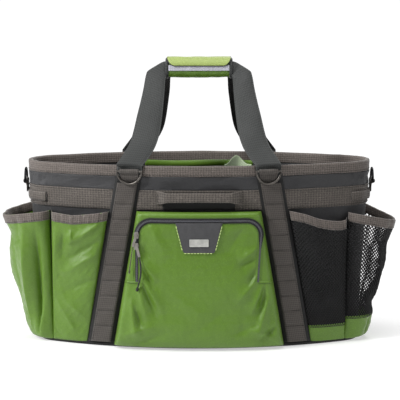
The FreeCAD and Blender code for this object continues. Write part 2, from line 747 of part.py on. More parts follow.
def build_rings():
    z = S["ring_z"].value
    radius = (radius_at("front", S["ring_z"], 0) + S["ring_offset"]).value
    for facing, sector in ((1, "front"), (-1, "rear")):
        tabs = []
        for side, hand in ((-1, "left"), (1, "right")):
            x = strap_x(S["ring_z"]).value
            swing = math.asin(x / radius)
            y = S["side_centre"].value - radius * math.cos(swing)
            turn = math.degrees(swing) * side
            if facing < 0:
                turn = 180 - turn
            tabs.append(ring_set(f"{sector}_ring_{hand}", Vector(side * x, facing * y, z),
                                 Rotation(Vector(0, 0, 1), turn)))
        group(f"{sector}_ring_tabs", *tabs)
    end_radius = (radius_at("left", S["end_ring_z"], 0) + S["end_ring_offset"]).value
    reach = S["end_centre"].value + end_radius
    tabs = [ring_set(f"{hand}_end_ring", Vector(side * reach, 0, S["end_ring_z"].value),
                     Rotation(Vector(0, 0, 1), 90 * side), standing=True)
            for side, hand in ((-1, "left"), (1, "right"))]
    group("end_ring_tabs", *tabs)


# ---------------------------------------------------------------- handles

def handle_points():
    """Half of the handle's outline in its own plane, from the foot to the top, then mirrored."""
    rise = S["handle_rise"]
    half = [(155, 1.8), (130, 48), (111, 142), (103.5, 182), (98, rise - 24), (68, rise)]
    inner = [(107, 1.8), (82, 34), (72, 72), (66.7, 126), (62, rise - 26)]
    right = [(x, v, None) for x, v in inner[::-1] + half]
    left = [(-x, v, None) for x, v in half[::-1] + inner]
    return right + left


def build_handles():
    lean = 90 - S["handle_tilt"].value
    for facing, label in ((1, "front_handle"), (-1, "rear_handle")):
        body = pad_body(label, "XY_Plane", handle_points(), S["handle_thick"], centred=True)
        turn = Rotation(Vector(1, 0, 0), lean)
        if facing < 0:
            turn = Rotation(Vector(0, 0, 1), 180).multiply(turn)
        place(body, 0, S["hinge_y"] * -facing, S["hinge_z"], turn)
        node(body, label)

    low, high, deep, wall = (S[f"wrap_{word}"].value for word in ("low", "top", "deep", "wall"))

    def loop(grow, radius):
        left, right, foot, top = -deep - grow, deep + grow, low - grow, high + grow
        return [(left + radius, foot, None), (right - radius, foot, radius),
                (right, foot + radius, None), (right, top - radius, radius),
                (right - radius, top, None), (left + radius, top, radius),
                (left, top - radius, None), (left, foot + radius, radius)]
    outer = pad_body("wrap_outer", "YZ_Plane", loop(0, 12), S["wrap_half"] * 2, centred=True)
    inner = pad_body("wrap_inner", "YZ_Plane", loop(-wall, 9.6), S["wrap_half"] * 2 + 4,
                     centred=True)
    node(cut("wrap", outer, inner), "grip_wrap")
    flap_solid = pad_body("flap_outer", "YZ_Plane", loop(2.2, 14.2), S["wrap_half"] * 2 - 12,
                          centred=True)
    flap_hole = pad_body("flap_inner", "YZ_Plane", loop(0.4, 12.4), S["wrap_half"] * 2,
                         centred=True)
    back, foot = S["flap_back"].value, S["flap_low"].value
    front, head = -deep - 4 * MARGIN, high + 4 * MARGIN
    keep = pad_body("flap_keep", "YZ_Plane", [(front, foot, None), (back, foot, None),
                                              (back, head, None), (front, head, None)],
                    S["wrap_half"] * 2, centred=True)
    node(common("flap", cut("flap_ring", flap_solid, flap_hole), keep), "grip_flap")


def build_grab_handles():
    """A raised webbing handle on the front of the belt and a folded one at each end."""
    low, tall = 283, 19
    wall = radius_at("front", Size(low + tall / 2), 0)
    centre = S["side_centre"]

    def plan(x, offset):
        radius = (wall + offset).value
        return Size(centre.value - math.sqrt(radius ** 2 - x ** 2))
    out, thick = 12, 3.2
    arc_out, arc_in = wall + out + thick, wall + out
    points = [(-80, plan(80, 2.6 + thick), None), (-62, plan(62, out + thick), arc_out),
              (62, plan(62, out + thick), None), (80, plan(80, 2.6 + thick), None),
              (80, plan(80, 2.6), None), (60, plan(60, out), -arc_in),
              (-60, plan(60, out), None), (-80, plan(80, 2.6), None)]
    grab = pad_body("front_grab", "XY_Plane", points, tall)
    place(grab, z=low)
    node(grab, "front_grab_handle")
    group("end_grab_handles", *(shell(f"{sector}_end_grab", sector, low - 8, low + tall - 8, 2.5, 5.5)
                                for sector in ("left", "right")))


def build_divider():
    """A padded divider that stands along the middle of the bag and lifts out."""
    half, low, top = S["divider_half"].value, S["divider_low"].value, S["divider_top"].value
    thick, reach = S["divider_thick"].value, S["divider_edging"].value
    overlap, gap, cover = 8, 0.1, 1.3

    def plate(label, wide, foot, head, through):
        made = pad_body(label, "XZ_Plane", [(-wide, 0, None), (wide, 0, None), (wide, head - foot, None),
                                            (-wide, head - foot, None)], through, centred=True)
        place(made, 0, S["divider_y"].value, foot)
        return made
    node(plate("divider", half, low, top, thick), "inner_divider")
    outer = plate("edging_outer", half, top - overlap, top + reach, thick + 2 * (gap + cover))
    inner = plate("edging_inner", half + MARGIN, top - overlap, top + 4 * gap, thick + 2 * gap)
    node(cut("edging", outer, inner), "inner_divider_binding")


def check_and_write():
    """Stop if any object failed, then write each sub-part."""
    doc.recompute()
    failed = [o.Name for o in doc.Objects if "Invalid" in o.State or "Error" in o.State]
    bad = [label for label, obj in nodes.items() if obj.Shape.isNull() or not obj.Shape.isValid()]
    if failed or bad:
        raise SystemExit(f"failed objects: {failed}; bad shapes: {bad}")
    os.makedirs("parts", exist_ok=True)
    for label, obj in nodes.items():
        obj.Shape.exportStep(f"parts/{label}.step")
    for label, obj in nodes.items():
        box = obj.Shape.BoundBox
        print(f"{label}: {len(obj.Shape.Solids)} solids, {obj.Shape.Volume / 1000:.1f} cm3, "
              f"x {box.XMin:.1f}..{box.XMax:.1f}, y {box.YMin:.1f}..{box.YMax:.1f}, "
              f"z {box.ZMin:.1f}..{box.ZMax:.1f}")
    print(f"{len(nodes)} sub-parts written")


build_shell()
build_straps()
build_side_pockets()
build_end_pockets()
build_zip_pocket()
build_zip_pulls()
build_rings()
build_handles()
build_grab_handles()
build_divider()
check_and_write()
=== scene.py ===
"""The looks of a garden tool bag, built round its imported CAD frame. Lengths are in metres, Z is up, -Y is the front."""
import math

import bmesh
import bpy
import numpy as np
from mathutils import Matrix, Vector


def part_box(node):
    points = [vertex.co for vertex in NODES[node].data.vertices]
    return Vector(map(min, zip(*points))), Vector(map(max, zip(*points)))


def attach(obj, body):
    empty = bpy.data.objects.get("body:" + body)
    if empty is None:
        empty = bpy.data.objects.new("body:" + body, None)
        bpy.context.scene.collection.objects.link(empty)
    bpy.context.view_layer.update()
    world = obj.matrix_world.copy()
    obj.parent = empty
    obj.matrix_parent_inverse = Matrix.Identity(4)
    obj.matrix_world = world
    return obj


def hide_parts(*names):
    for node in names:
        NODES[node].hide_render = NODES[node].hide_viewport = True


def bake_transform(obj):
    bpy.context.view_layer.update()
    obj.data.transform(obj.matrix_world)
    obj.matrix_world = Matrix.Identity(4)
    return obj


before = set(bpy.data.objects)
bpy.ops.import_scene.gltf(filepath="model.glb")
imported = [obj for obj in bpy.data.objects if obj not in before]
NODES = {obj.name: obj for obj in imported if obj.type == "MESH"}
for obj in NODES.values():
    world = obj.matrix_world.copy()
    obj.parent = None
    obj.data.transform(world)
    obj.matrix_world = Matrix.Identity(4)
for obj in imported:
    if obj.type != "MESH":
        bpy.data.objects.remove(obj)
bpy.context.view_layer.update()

# ---------------------------------------------------------------- the bag's shape, as the CAD has it
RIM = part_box("front_wall")[1].z + 0.0018     # height that the walls' slope is given over
GROW = 0.02                                 # growth of every arc's radius up to that height
SIDE_Y, SIDE_R = 0.4377, 0.5627              # long sides: arc centre behind the bag, radius at the floor
END_X, END_R = 0.2527, 0.0573                # ends: arc centre and radius at the floor
POCKET_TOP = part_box("front_left_pocket")[1].z
STRAP_LOW_X, STRAP_SLOPE = 0.1895, -0.1725   # strap centre at the floor, and its lean
EXTRA = 0.0265                               # a pocket starts this far from a strap's centre
FLOOR = 0.005                                # height where the pockets' cloth starts
CLOTH = 0.0014                               # thickness of the pockets' cloth
THREAD = 0.00035                             # radius of sewing thread


def oval(t, z, off=0.0):
    """Points on the wall, off outwards. t runs 0-4: front from left to right, right end, rear, left end."""
    t, z, off = np.broadcast_arrays(np.asarray(t, float) % 4, z, off)
    side = SIDE_R + GROW * z / RIM + off
    end = END_R + GROW * z / RIM + off
    quarter = np.floor(t).astype(int)
    a = np.radians(60 * (t - quarter) - 30)
    b = np.radians(120 * (t - quarter) - 60)
    across, along = END_X + end * np.cos(b), side * np.cos(a) - SIDE_Y
    x = np.choose(quarter, [side * np.sin(a), across, -side * np.sin(a), -across])
    y = np.choose(quarter, [-along, end * np.sin(b), along, -end * np.sin(b)])
    return np.stack([x, y, z], -1)


def side(x, z, off=0.0, facing=-1):
    """Points on the front (facing -1) or rear (facing 1) wall at x."""
    x, z, off = np.broadcast_arrays(np.asarray(x, float), z, off)
    radius = SIDE_R + GROW * z / RIM + off
    return np.stack([x, facing * (np.sqrt(radius ** 2 - x ** 2) - SIDE_Y), z], -1)


def mm(*rows):
    """Rows of millimetres as tuples of metres."""
    return [tuple(round(value / 1000, 7) for value in row) for row in rows]


def strap_x(z):
    return STRAP_LOW_X + STRAP_SLOPE * np.asarray(z, float)


def around(count_side=61, count_end=25):
    """Stations round the whole oval, even on each arc."""
    quarter = [np.linspace(0, 1, n - 1, endpoint=False) for n in (count_side, count_end)]
    return np.concatenate([quarter[0], 1 + quarter[1], 2 + quarter[0], 3 + quarter[1]])


# ---------------------------------------------------------------- meshes
def link(name, data):
    """A new object in the scene, with that data."""
    obj = bpy.data.objects.new(name, data)
    bpy.context.scene.collection.objects.link(obj)
    return obj


def add(name, verts, faces, smooth=True):
    """A new object in the scene, from vertices and faces."""
    mesh = bpy.data.meshes.new(name)
    mesh.from_pydata(np.asarray(verts).tolist(), [], faces)
    if smooth:
        mesh.shade_smooth()
    return link(name, mesh)


def run(points, axis, loop):
    """Mean distance along one axis of a grid of points."""
    step = np.linalg.norm(np.roll(points, -1, axis) - points, axis=2).mean(1 - axis)
    return np.concatenate([[0], np.cumsum(step if loop else step[:-1])])


def grid(name, points, loop_i=False, loop_j=False):
    """A smooth mesh through a (rows, columns, 3) array, with UVs in metres: U along the rows' index."""
    points = np.asarray(points, float)
    ni, nj = points.shape[:2]
    u, v = run(points, 0, loop_i), run(points, 1, loop_j)
    faces, uvs = [], []
    for i in range(ni if loop_i else ni - 1):
        for j in range(nj if loop_j else nj - 1):
            corners = [(i, j), (i + 1, j), (i + 1, j + 1), (i, j + 1)]
            faces.append([(a % ni) * nj + b % nj for a, b in corners])
            uvs += [(u[a], v[b]) for a, b in corners]
    obj = add(name, points.reshape(-1, 3), faces)
    obj.data.uv_layers.new(name="metres").data.foreach_set("uv", np.array(uvs).ravel())
    return obj


def mend(mesh, rings=(), merge=0.0):
    """Adds faces, each a ring of vertex numbers, joins vertices that meet, and turns every face outwards."""
    bm = bmesh.new()
    bm.from_mesh(mesh)
    bm.verts.ensure_lookup_table()
    for ring in rings:
        bm.faces.new([bm.verts[i] for i in ring])
    if merge:
        bmesh.ops.remove_doubles(bm, verts=bm.verts[:], dist=merge)
    bmesh.ops.recalc_face_normals(bm, faces=bm.faces[:])
    bm.to_mesh(mesh)
    bm.free()


def bar(name, points):
    """A solid whose closed sections are the rows of points, with a flat face on each end."""
    obj = grid(name, points, loop_j=True)
    n, m = points.shape[:2]
    mend(obj.data, [range(m)[::-1], range((n - 1) * m, n * m)])
    return obj


def swept(name, section, place):
    """A bar whose rows run along a path: place(across, out) gives the path of one section point."""
    return bar(name, np.stack([place(*point) for point in section], 1))


def sheet(name, inside, outside):
    """One thin solid closed from two matching grids of points."""
    obj = grid(name, np.concatenate([outside, inside[:, ::-1]], 1), loop_j=True)
    n, m = len(inside), 2 * inside.shape[1]
    rings = []
    for base, way in ((0, 1), ((n - 1) * m, -1)):
        rings += [[base + j, base + j + 1, base + m - 2 - j, base + m - 1 - j][::way] for j in range(m // 2 - 1)]
    mend(obj.data, rings)
    obj.data.shade_smooth()
    return obj


def sweep_oval(name, profile, wobble=0.0, seed=0, crease=0.0, stations=None):
    """A closed section of (off, z) points carried round the whole bag, a little uneven as cloth is."""
    t = around() if stations is None else stations
    rng = np.random.default_rng(seed)
    waves = [(k, rng.uniform(0, 6.28), rng.uniform(0.4, 1)) for k in (5, 9, 14, 23, 31)]
    uneven = sum(w * np.sin(k * t * math.pi / 2 + p) for k, p, w in waves) / 2.5
    off = np.array([p[0] for p in profile])[None, :] + wobble * uneven[:, None]
    z = np.array([p[1] for p in profile])[None, :] + 0.8 * wobble * np.roll(uneven, 7)[:, None]
    if crease:
        outer = off > off.max() - 2 * wobble - 0.0007
        off = off + outer * crease * ripple(t[:, None] * 0.4, z, 0.05, seed + 1, 0.4)
    return grid(name, oval(t[:, None], z, off), loop_i=True, loop_j=True)


def band(out, inner, low, high, r, count):
    """The section of a flat band between two offsets and two heights, with its corners cut by r."""
    rise = np.linspace(low + r, high - r, count)
    return [(out - r, low), *((out, q) for q in rise), (out - r, high),
            (inner + r, high), *((inner, q) for q in rise[::-1]), (inner + r, low)]


def tubes(name, paths, radius, sides=8, loop=False):
    """Round threads or wires along several paths, as one closed mesh."""
    verts, faces = [], []
    for path in paths:
        path = np.asarray(path, float)
        along = np.roll(path, -1, 0) - np.roll(path, 1, 0) if loop else np.gradient(path, axis=0)
        along /= np.linalg.norm(along, axis=1, keepdims=True)
        up = np.array([0.0, 0.0, 1.0]) if abs(along[0][2]) < 0.8 else np.array([0.0, 1.0, 0.0])
        a = np.cross(along, up)
        a /= np.linalg.norm(a, axis=1, keepdims=True)
        b = np.cross(along, a)
        start, n = len(verts), len(path)
        for p, q, w in zip(path, a, b):
            verts += [p + radius * (q * math.cos(k) + w * math.sin(k))
                      for k in np.linspace(0, 2 * math.pi, sides, endpoint=False)]
        for i in range(n if loop else n - 1):
            here, there = start + i * sides, start + (i + 1) % n * sides
            faces += [[here + k, there + k, there + (k + 1) % sides, here + (k + 1) % sides] for k in range(sides)]
        if not loop:
            faces += [[*range(start, start + sides)][::-1], [*range(start + (n - 1) * sides, start + n * sides)]]
    return add(name, verts, faces)


def length_along(line):
    """Distance from the start of a line of points to each of them."""
    return np.concatenate([[0], np.cumsum(np.linalg.norm(np.diff(line, axis=0), axis=1))])


def dashes(path, length=0.0034, gap=0.0016):
    """Cuts a path into stitches, each a short run of four points."""
    path = np.asarray(path, float)
    reach = length_along(path)
    return [np.stack([np.interp(np.linspace(s, s + length, 4), reach, path[:, k]) for k in range(3)], 1)
            for s in np.arange(0, reach[-1] - length, length + gap)]


# ---------------------------------------------------------------- materials
def srgb(*screen):
    """A screen colour of three numbers, 0-255, as the shader's linear one."""
    return tuple(c / 255 / 12.92 if c <= 10 else ((c / 255 + 0.055) / 1.055) ** 2.4 for c in screen) + (1,)


def shade(colour, factor):
    return tuple(min(1.0, c * factor) for c in colour[:3]) + (1,)


class Shader:
    """A node material built a node at a time: settings by name, sockets by label or index."""

    def __init__(self, name, coords="uv"):
        self.material = bpy.data.materials.new(name)
        self.material.use_nodes = True
        self.tree = self.material.node_tree
        self.tree.nodes.clear()
        self.surface = self.add("BsdfPrincipled")
        self.put(self.add("OutputMaterial").inputs["Surface"], self.surface.outputs[0])
        self.solid = self.add("TexCoord").outputs["Object"]
        self.flat = self.add("UVMap", {"uv_map": "metres"}).outputs[0] if coords == "uv" else self.solid

    def put(self, socket, value):
        """Links a socket to another node's, or sets its constant."""
        if isinstance(value, bpy.types.NodeSocket):
            self.tree.links.new(value, socket)
        else:
            socket.default_value = value

    def add(self, kind, settings=None, **sockets):
        made = self.tree.nodes.new("ShaderNode" + kind)
        for key, value in (settings or {}).items():
            setattr(made, key, value)
        for key, value in sockets.items():
            self.put(made.inputs[int(key[1:]) if key[1:].isdigit() else key.replace("_", " ")], value)
        return made

    def noise(self, scale, detail=2.0, rough=0.5):
        made = self.add("TexNoise", Vector=self.solid, Scale=scale, Detail=detail, Roughness=rough)
        return made.outputs["Fac"]

    def bands(self, direction, period, distort=0.0, where=None):
        """Parallel ridges that repeat every period metres."""
        made = self.add("TexWave", {"bands_direction": direction}, Vector=where or self.flat,
                        Scale=2 * math.pi / (20 * period), Distortion=distort, Detail=1.0, Detail_Scale=1.0)
        return made.outputs["Fac"]

    def sum(self, a, b, operation="ADD"):
        return self.add("Math", {"operation": operation}, i0=a, i1=b).outputs[0]

    def spread(self, value, low, high, to_low=0.0, to_high=1.0):
        """A value stretched from one range to another, and held inside it."""
        return self.add("MapRange", Value=value, From_Min=low, From_Max=high, To_Min=to_low, To_Max=to_high).outputs[0]

    def blend(self, factor, a, b):
        return self.add("Mix", {"data_type": "RGBA"}, i0=factor, i6=a, i7=b).outputs[2]

    def paint(self, colour, roughness):
        self.put(self.surface.inputs["Base Color"], colour)
        self.put(self.surface.inputs["Roughness"], roughness)

    def bump(self, *layers):
        """Height layers as (value, strength, metres), finest first."""
        normal = None
        for value, strength, height in layers:
            made = self.add("Bump", Height=value, Strength=strength, Distance=height)
            if normal:
                self.put(made.inputs["Normal"], normal)
            normal = made.outputs[0]
        self.put(self.surface.inputs["Normal"], normal)


def fabric(name, colour, thread=0.0011, depth=0.5, rough=0.62, blotch=0.1, sheen=0.15, ribs=None, fade=None,
           crumple=0.25):
    """Woven cloth: two sets of threads that cross, painted shade in the hollows between them, soft patches of tone,
    worn highs, and small crumples.
    ribs=(along, across) makes the heavier, taller ribs of webbing instead."""
    s = Shader(name)
    across, along = ribs or (thread, thread)
    weft, warp = s.bands("X", across, 0.6), s.bands("Y", along, 0.6)
    weave = s.sum(weft, warp, "MULTIPLY" if ribs is None else "ADD")
    weave = s.spread(weave, 0.0, 1.0 if ribs is None else 2.0)
    patches = s.noise(14, 3, 0.6)
    grain = s.noise(420, 2, 0.7)
    tone = s.blend(s.spread(patches, 0.3, 0.7), shade(colour, 1 - blotch), shade(colour, 1 + blotch))
    # painted shade: the colour darkens in the weave's hollows, more deeply between webbing's ribs
    dark = s.blend(s.spread(weave, 0.05, 0.75), shade(colour, 0.46 if ribs else 0.62), tone)
    worn = s.blend(s.spread(grain, 0.52, 0.75, 0.0, 0.35), dark, shade(fade or colour, 1.35))
    s.paint(worn, s.spread(patches, 0.25, 0.75, rough - 0.06, rough + 0.08))
    s.surface.inputs["Sheen Weight"].default_value = sheen
    s.surface.inputs["Sheen Roughness"].default_value = 0.4
    s.surface.inputs["Specular IOR Level"].default_value = 0.35
    s.bump((s.noise(38, 3, 0.55), crumple, 0.004), (weave, depth, 0.0005), (grain, 0.12, 0.0003))
    return s.material


def metal(name, colour, rough):
    """Cast, plated metal with fine brushing and duller, rubbed patches."""
    s = Shader(name, "solid")
    rub, fine = s.noise(90, 4, 0.6), s.noise(900, 2, 0.6)
    s.paint(s.blend(s.spread(rub, 0.35, 0.7), shade(colour, 0.8), shade(colour, 1.2)),
            s.spread(rub, 0.3, 0.7, rough - 0.08, rough + 0.12))
    s.surface.inputs["Metallic"].default_value = 1.0
    s.bump((fine, 0.08, 0.0002), (rub, 0.05, 0.001))
    return s.material


def leather(name, colour):
    """Grained synthetic leather with cell-like creases, the colour darkened along them as painted shade."""
    s = Shader(name)
    cells = s.add("TexVoronoi", {"feature": "DISTANCE_TO_EDGE"}, Vector=s.solid, Scale=520.0).outputs["Distance"]
    soft = s.noise(60, 3, 0.6)
    # painted shade: darker along the cell edges, where the creases sink
    s.paint(s.blend(s.spread(cells, 0.0, 0.12), shade(colour, 0.65),
                    s.blend(s.spread(soft, 0.3, 0.7), shade(colour, 0.92), shade(colour, 1.1))),
            s.spread(soft, 0.3, 0.7, 0.45, 0.6))
    s.bump((s.spread(cells, 0.0, 0.2), 0.35, 0.0004), (soft, 0.15, 0.002))
    return s.material


def plain(name, colour, rough, scale, depth):
    """Moulded, foamed or spun stuff with a fine grain."""
    s = Shader(name, "solid")
    grain, soft = s.noise(scale, 3, 0.6), s.noise(scale / 14, 2, 0.5)
    s.paint(s.blend(s.spread(soft, 0.3, 0.7), shade(colour, 0.88), shade(colour, 1.12)),
            s.spread(grain, 0.3, 0.7, rough - 0.07, rough + 0.07))
    s.bump((grain, depth, 0.0005))
    return s.material


def twist(name, colour, pitch):
    """Twisted cord or sewing thread: slanted strands, painted darker in their grooves as shade and lighter on their
    crests as highlight.
    """
    s = Shader(name, "solid")
    slant = s.add("Mapping", Vector=s.solid, Rotation=(0.6, 0.5, 0.0)).outputs[0]
    strands = s.bands("Z", pitch, 1.5, where=slant)
    # painted shade in the strands' grooves and painted highlight on their crests
    s.paint(s.blend(strands, shade(colour, 0.6), shade(colour, 1.15)), 0.7)
    s.bump((strands, 0.6, 0.0004), (s.noise(900, 2), 0.2, 0.0002))
    return s.material


MAT = {
    "green": fabric("green_nylon", srgb(100, 136, 46), 0.0009, 0.22, 0.34, 0.07, 0.0, crumple=0.42),
    "flap": fabric("flap_nylon", srgb(168, 186, 106), 0.0012, 0.3, 0.5, 0.06, 0.05, crumple=0.12),
    "dark": fabric("dark_polyester", srgb(54, 54, 56), 0.0012, 0.35, 0.5, 0.14, 0.2, crumple=0.6),
    "lining": fabric("lining_cloth", srgb(46, 46, 48), 0.001, 0.3, 0.6, 0.12, 0.1),
    "base": fabric("base_canvas", srgb(38, 37, 36), 0.0016, 0.5, 0.65, 0.12, 0.1),
    "webbing": fabric("taupe_webbing", srgb(98, 90, 85), depth=0.8, rough=0.72, blotch=0.14, sheen=0.25,
                      ribs=(0.0048, 0.004), fade=srgb(138, 130, 122)),
    "belt": fabric("belt_webbing_weave", srgb(86, 80, 75), depth=0.9, rough=0.74, blotch=0.16, sheen=0.25,
                   ribs=(0.0056, 0.0044), fade=srgb(132, 124, 116)),
    "strap": fabric("strap_webbing_weave", srgb(77, 72, 68), depth=0.7, rough=0.72, blotch=0.12, sheen=0.2,
                    ribs=(0.004, 0.0036)),
    "black": fabric("black_webbing_weave", srgb(19, 19, 19), depth=0.6, rough=0.7, blotch=0.15, sheen=0.15,
                    ribs=(0.0022, 0.0026)),
    "grey": fabric("grey_webbing_weave", srgb(52, 54, 53), depth=0.55, rough=0.62, blotch=0.08, sheen=0.3,
                   ribs=(0.005, 0.003), crumple=0.22),
    "mesh": plain("mesh_yarn", srgb(15, 15, 16), 0.75, 700, 0.2),
    "patch": leather("patch_leather", srgb(62, 62, 64)),
    "badge": metal("badge_metal", srgb(205, 205, 200), 0.38),
    "tape": fabric("zip_tape_weave", srgb(22, 22, 24), 0.0011, 0.5, 0.6, 0.1, 0.1),
    # the zip's coil in light grey-blue: a painted highlight along the zip's middle
    "coil": plain("zip_coil_painted_highlight", srgb(86, 86, 92), 0.35, 900, 0.1),
    "zip_metal": metal("zip_metal", srgb(150, 146, 140), 0.32),
    "black_metal": metal("black_metal", srgb(40, 40, 42), 0.42),
    "dark_metal": metal("gunmetal", srgb(96, 92, 88), 0.36),
    "foam": plain("foam_board", srgb(70, 70, 72), 0.85, 300, 0.4),
    "plastic": plain("plastic_strip", srgb(30, 30, 32), 0.5, 120, 0.1),
    "grey_cord": twist("grey_cord", srgb(78, 74, 62), 0.0026),
    "black_cord": twist("black_cord", srgb(30, 30, 30), 0.0036),
    "green_thread": twist("light_green_thread", srgb(196, 220, 140), 0.0012),
    "dark_thread": twist("dark_thread", srgb(52, 50, 47), 0.0012),
    "moss_thread": twist("moss_thread", srgb(78, 106, 44), 0.0012),
    "pale": fabric("pale_lining", srgb(205, 205, 218), 0.001, 0.25, 0.5, 0.05, 0.1, crumple=0.3),
    "film": fabric("pale_green_lining", srgb(196, 214, 178), 0.001, 0.25, 0.45, 0.08, 0.1, crumple=0.3),
}


def finish(obj, look, slot, *replaced, body="bag"):
    """Gives a piece its material and body, and hides the CAD nodes that it stands for; slot is not used."""
    obj.data.materials.clear()
    obj.data.materials.append(MAT[look])
    if body:
        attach(obj, body)
    if replaced:
        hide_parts(*replaced)
    return obj


def sew(name, stitches, look, slot, radius=THREAD, sides=4):
    """Stitches as one piece of thread."""
    finish(tubes(name, stitches, radius, sides), look, slot)


def join(name, pieces):
    """Several pieces as one object."""
    bm = bmesh.new()
    for piece in pieces:
        bm.from_mesh(piece.data)
        bpy.data.objects.remove(piece)
    mesh = bpy.data.meshes.new(name)
    bm.to_mesh(mesh)
    bm.free()
    mesh.shade_smooth()
    return link(name, mesh)


def ripple(u, v, size, seed, sharp=0.0):
    """A repeatable uneven height field, about -1 to 1, with features of that size. sharp makes crests of it."""
    rng = np.random.default_rng(seed)
    total = 0
    for k in range(7):
        way, phase, stretch = rng.uniform(0, math.pi), rng.uniform(0, 6.28), rng.uniform(0.7, 1.8)
        wave = np.sin(2 * math.pi * (u * math.cos(way) + v * math.sin(way)) / (size * stretch) + phase)
        total = total + (1 - sharp) * wave + sharp * (1 - 2 * np.abs(wave))
    return total / 3.4


def folds(u, v, lines):
    """Height of creases, each (u0, v0, u1, v1, width, height) from one point to where it fades at another."""
    total = 0
    for u0, v0, u1, v1, width, height in lines:
        du, dv = u1 - u0, v1 - v0
        s = np.clip(((u - u0) * du + (v - v0) * dv) / (du * du + dv * dv), 0, 1)
        away = np.hypot(u - u0 - s * du, v - v0 - s * dv)
        reach = width * (0.6 + 0.8 * s)
        total = total + height * np.sin(math.pi * (0.12 + 0.86 * s)) * np.exp(-(away / reach) ** 1.25)
    return total


# ---------------------------------------------------------------- walls, lining, bands and base
def strip(name, heights, half, off, facing, hand, wave):
    """A webbing strip up a long side, along a strap's slanting line."""
    q = np.linspace(-1, 1, 9)
    edge = np.sqrt(np.clip(1 - np.abs(q) ** 10, 0.05, 1)) * 0.0008
    section = [*zip(q, edge), *zip(q[::-1], -edge)]
    return swept(name, section, lambda place, lift: side(
        hand * (strap_x(heights) + place * half), heights, off + lift + wave(heights, place), facing))


def build_shell():
    wall = sweep_oval("walls", band(0.0, -0.002, 0.0032, 0.3482, 0.0003, 30))
    finish(wall, "dark", "dark_fabric", "front_wall", "rear_wall", "left_end_wall", "right_end_wall")

    # the lining's creases fade near the top, where the rim's binding covers it
    t, z = around(121, 33)[:, None], np.linspace(0.008, 0.346, 60)[None, :]
    fading = np.clip((0.332 - z) / 0.02, 0, 1)
    creased = fading * (0.0012 * ripple(t * 0.35, z, 0.09, 3) + 0.0006 * ripple(t * 0.35, z, 0.03, 4, 0.6))
    inner = oval(t, z, -0.0066 - 0.0009 * fading + np.minimum(creased, 0.0008))
    cloth = grid("lining_cloth", np.concatenate([oval(t, z[:, ::-1], -0.0056), inner], 1), loop_i=True, loop_j=True)
    finish(cloth, "lining", "lining_fabric", "lining")

    over = mm((1.4, 331), (1.7, 331.6), (1.9, 336), (1.6, 341), (1.9, 346), (1.4, 349.5), (0, 350.8), (-3.2, 351.3),
              (-6.4, 350.8), (-7.8, 349.5), (-8.3, 346), (-8, 341), (-8.3, 336), (-8.1, 331.6), (-7.8, 331),
              (-7.2, 331.2), (-7, 341), (-6.8, 349), (-3.2, 349.7), (0.3, 349), (0.4, 341), (0.6, 331.2))
    rim = sweep_oval("rim_binding_tape", over, wobble=0.0005, seed=2, stations=around(161, 49))
    finish(rim, "webbing", "taupe_webbing", "rim_binding")
    upper = sweep_oval("upper_band_cloth", band(0.0022, 0.0003, 0.3055, 0.3305, 0.0004, 14), wobble=0.0003, seed=6,
                       crease=0.0022, stations=around(201, 61))
    finish(upper, "dark", "dark_fabric", "upper_band")
    belt = sweep_oval("belt", band(0.0026, 0.0003, 0.267, 0.305, 0.0007, 14), wobble=0.0004, seed=8, crease=0.0005,
                      stations=around(201, 61))
    finish(belt, "belt", "taupe_webbing", "belt_webbing")
    seams = []
    for level, out in ((0.3335, 0.0021), (0.2698, 0.0031), (0.3022, 0.0031)):
        seams += dashes(oval(np.linspace(0, 4, 1400), level, out), 0.0042, 0.0022)
    sew("band_stitches", seams, "dark_thread", "dark_fabric")

    t = around()
    low, thick = 0.0002, 0.0028
    under = [np.tile([0, 0, low], (len(t), 1))] + [oval(t, low, -0.0006 - 0.1 * k) for k in (0.9, 0.6, 0.3, 0.0)]
    panel = grid("base_cloth", np.stack(under + [ring + [0, 0, thick] for ring in under[::-1]], 1), loop_i=True)
    mend(panel.data, merge=1e-6)
    finish(panel, "base", "base_fabric", "base_panel")
    turn, radius = np.linspace(0, 2 * math.pi, 10, endpoint=False), 0.0019
    piping = [(0.0012 + radius * math.cos(k), 0.0049 + radius * math.sin(k)) for k in turn]
    finish(sweep_oval("base_piping_cord", piping), "black", "black_webbing", "base_piping")


COVER_ROWS = [0.04 + 0.0297 * k for k in range(9)]     # heights where a strap's cover is sewn across


def build_straps():
    def ruffle(z, q):
        return 0.0003 * np.sin(z * 130 + 3 * q)

    def sewn(z, q):
        return ruffle(z, q) + 0.0007 - 0.0014 * sum(np.exp(-((z - row) / 0.0026) ** 2) for row in COVER_ROWS)

    low, high, line = np.linspace(0.008, 0.3495, 70), np.linspace(0.0085, 0.3185, 220), np.linspace(0.012, 0.314, 300)
    across = np.linspace(-0.0165, 0.0165, 40)
    for word, facing in (("front", -1), ("rear", 1)):
        both = [strip(f"{word}_strap_{hand}", low, 0.0245, 0.0034, facing, hand, ruffle) for hand in (-1, 1)]
        finish(join(f"{word}_strap_webbing", both), "black", "black_webbing", f"{word}_straps")
        both = [strip(f"{word}_cover_{hand}", high, 0.0192, 0.0054, facing, hand, sewn) for hand in (-1, 1)]
        finish(join(f"{word}_strap_cover_webbing", both), "strap", "grey_webbing", f"{word}_strap_covers")
        seams = []
        for hand in (-1, 1):
            for edge in (-0.0172, 0.0172):
                seams += dashes(side(hand * (strap_x(line) + edge), line, 0.0068, facing), 0.0045, 0.002)
            for row in COVER_ROWS:
                seams += dashes(side(hand * (strap_x(row) + across), row, 0.0058, facing), 0.004, 0.0018)
        sew(f"{word}_strap_stitches", seams, "dark_thread", "black_webbing")


# ---------------------------------------------------------------- open pockets
SEAM_X = 0.2825                       # where a side pocket ends and an end pocket starts
BIND = 0.0175                         # height of the webbing folded over a pocket's mouth
LINE = np.linspace(0, 1, 400)         # places along a row of stitches


def rounded(distance, radius, power=2.2):
    """0 at an edge, rising in a quarter round to 1 at that radius from it."""
    left = 1 - np.clip(distance / radius, 0, 1)
    return np.maximum(0, 1 - left ** power) ** (1 / power)


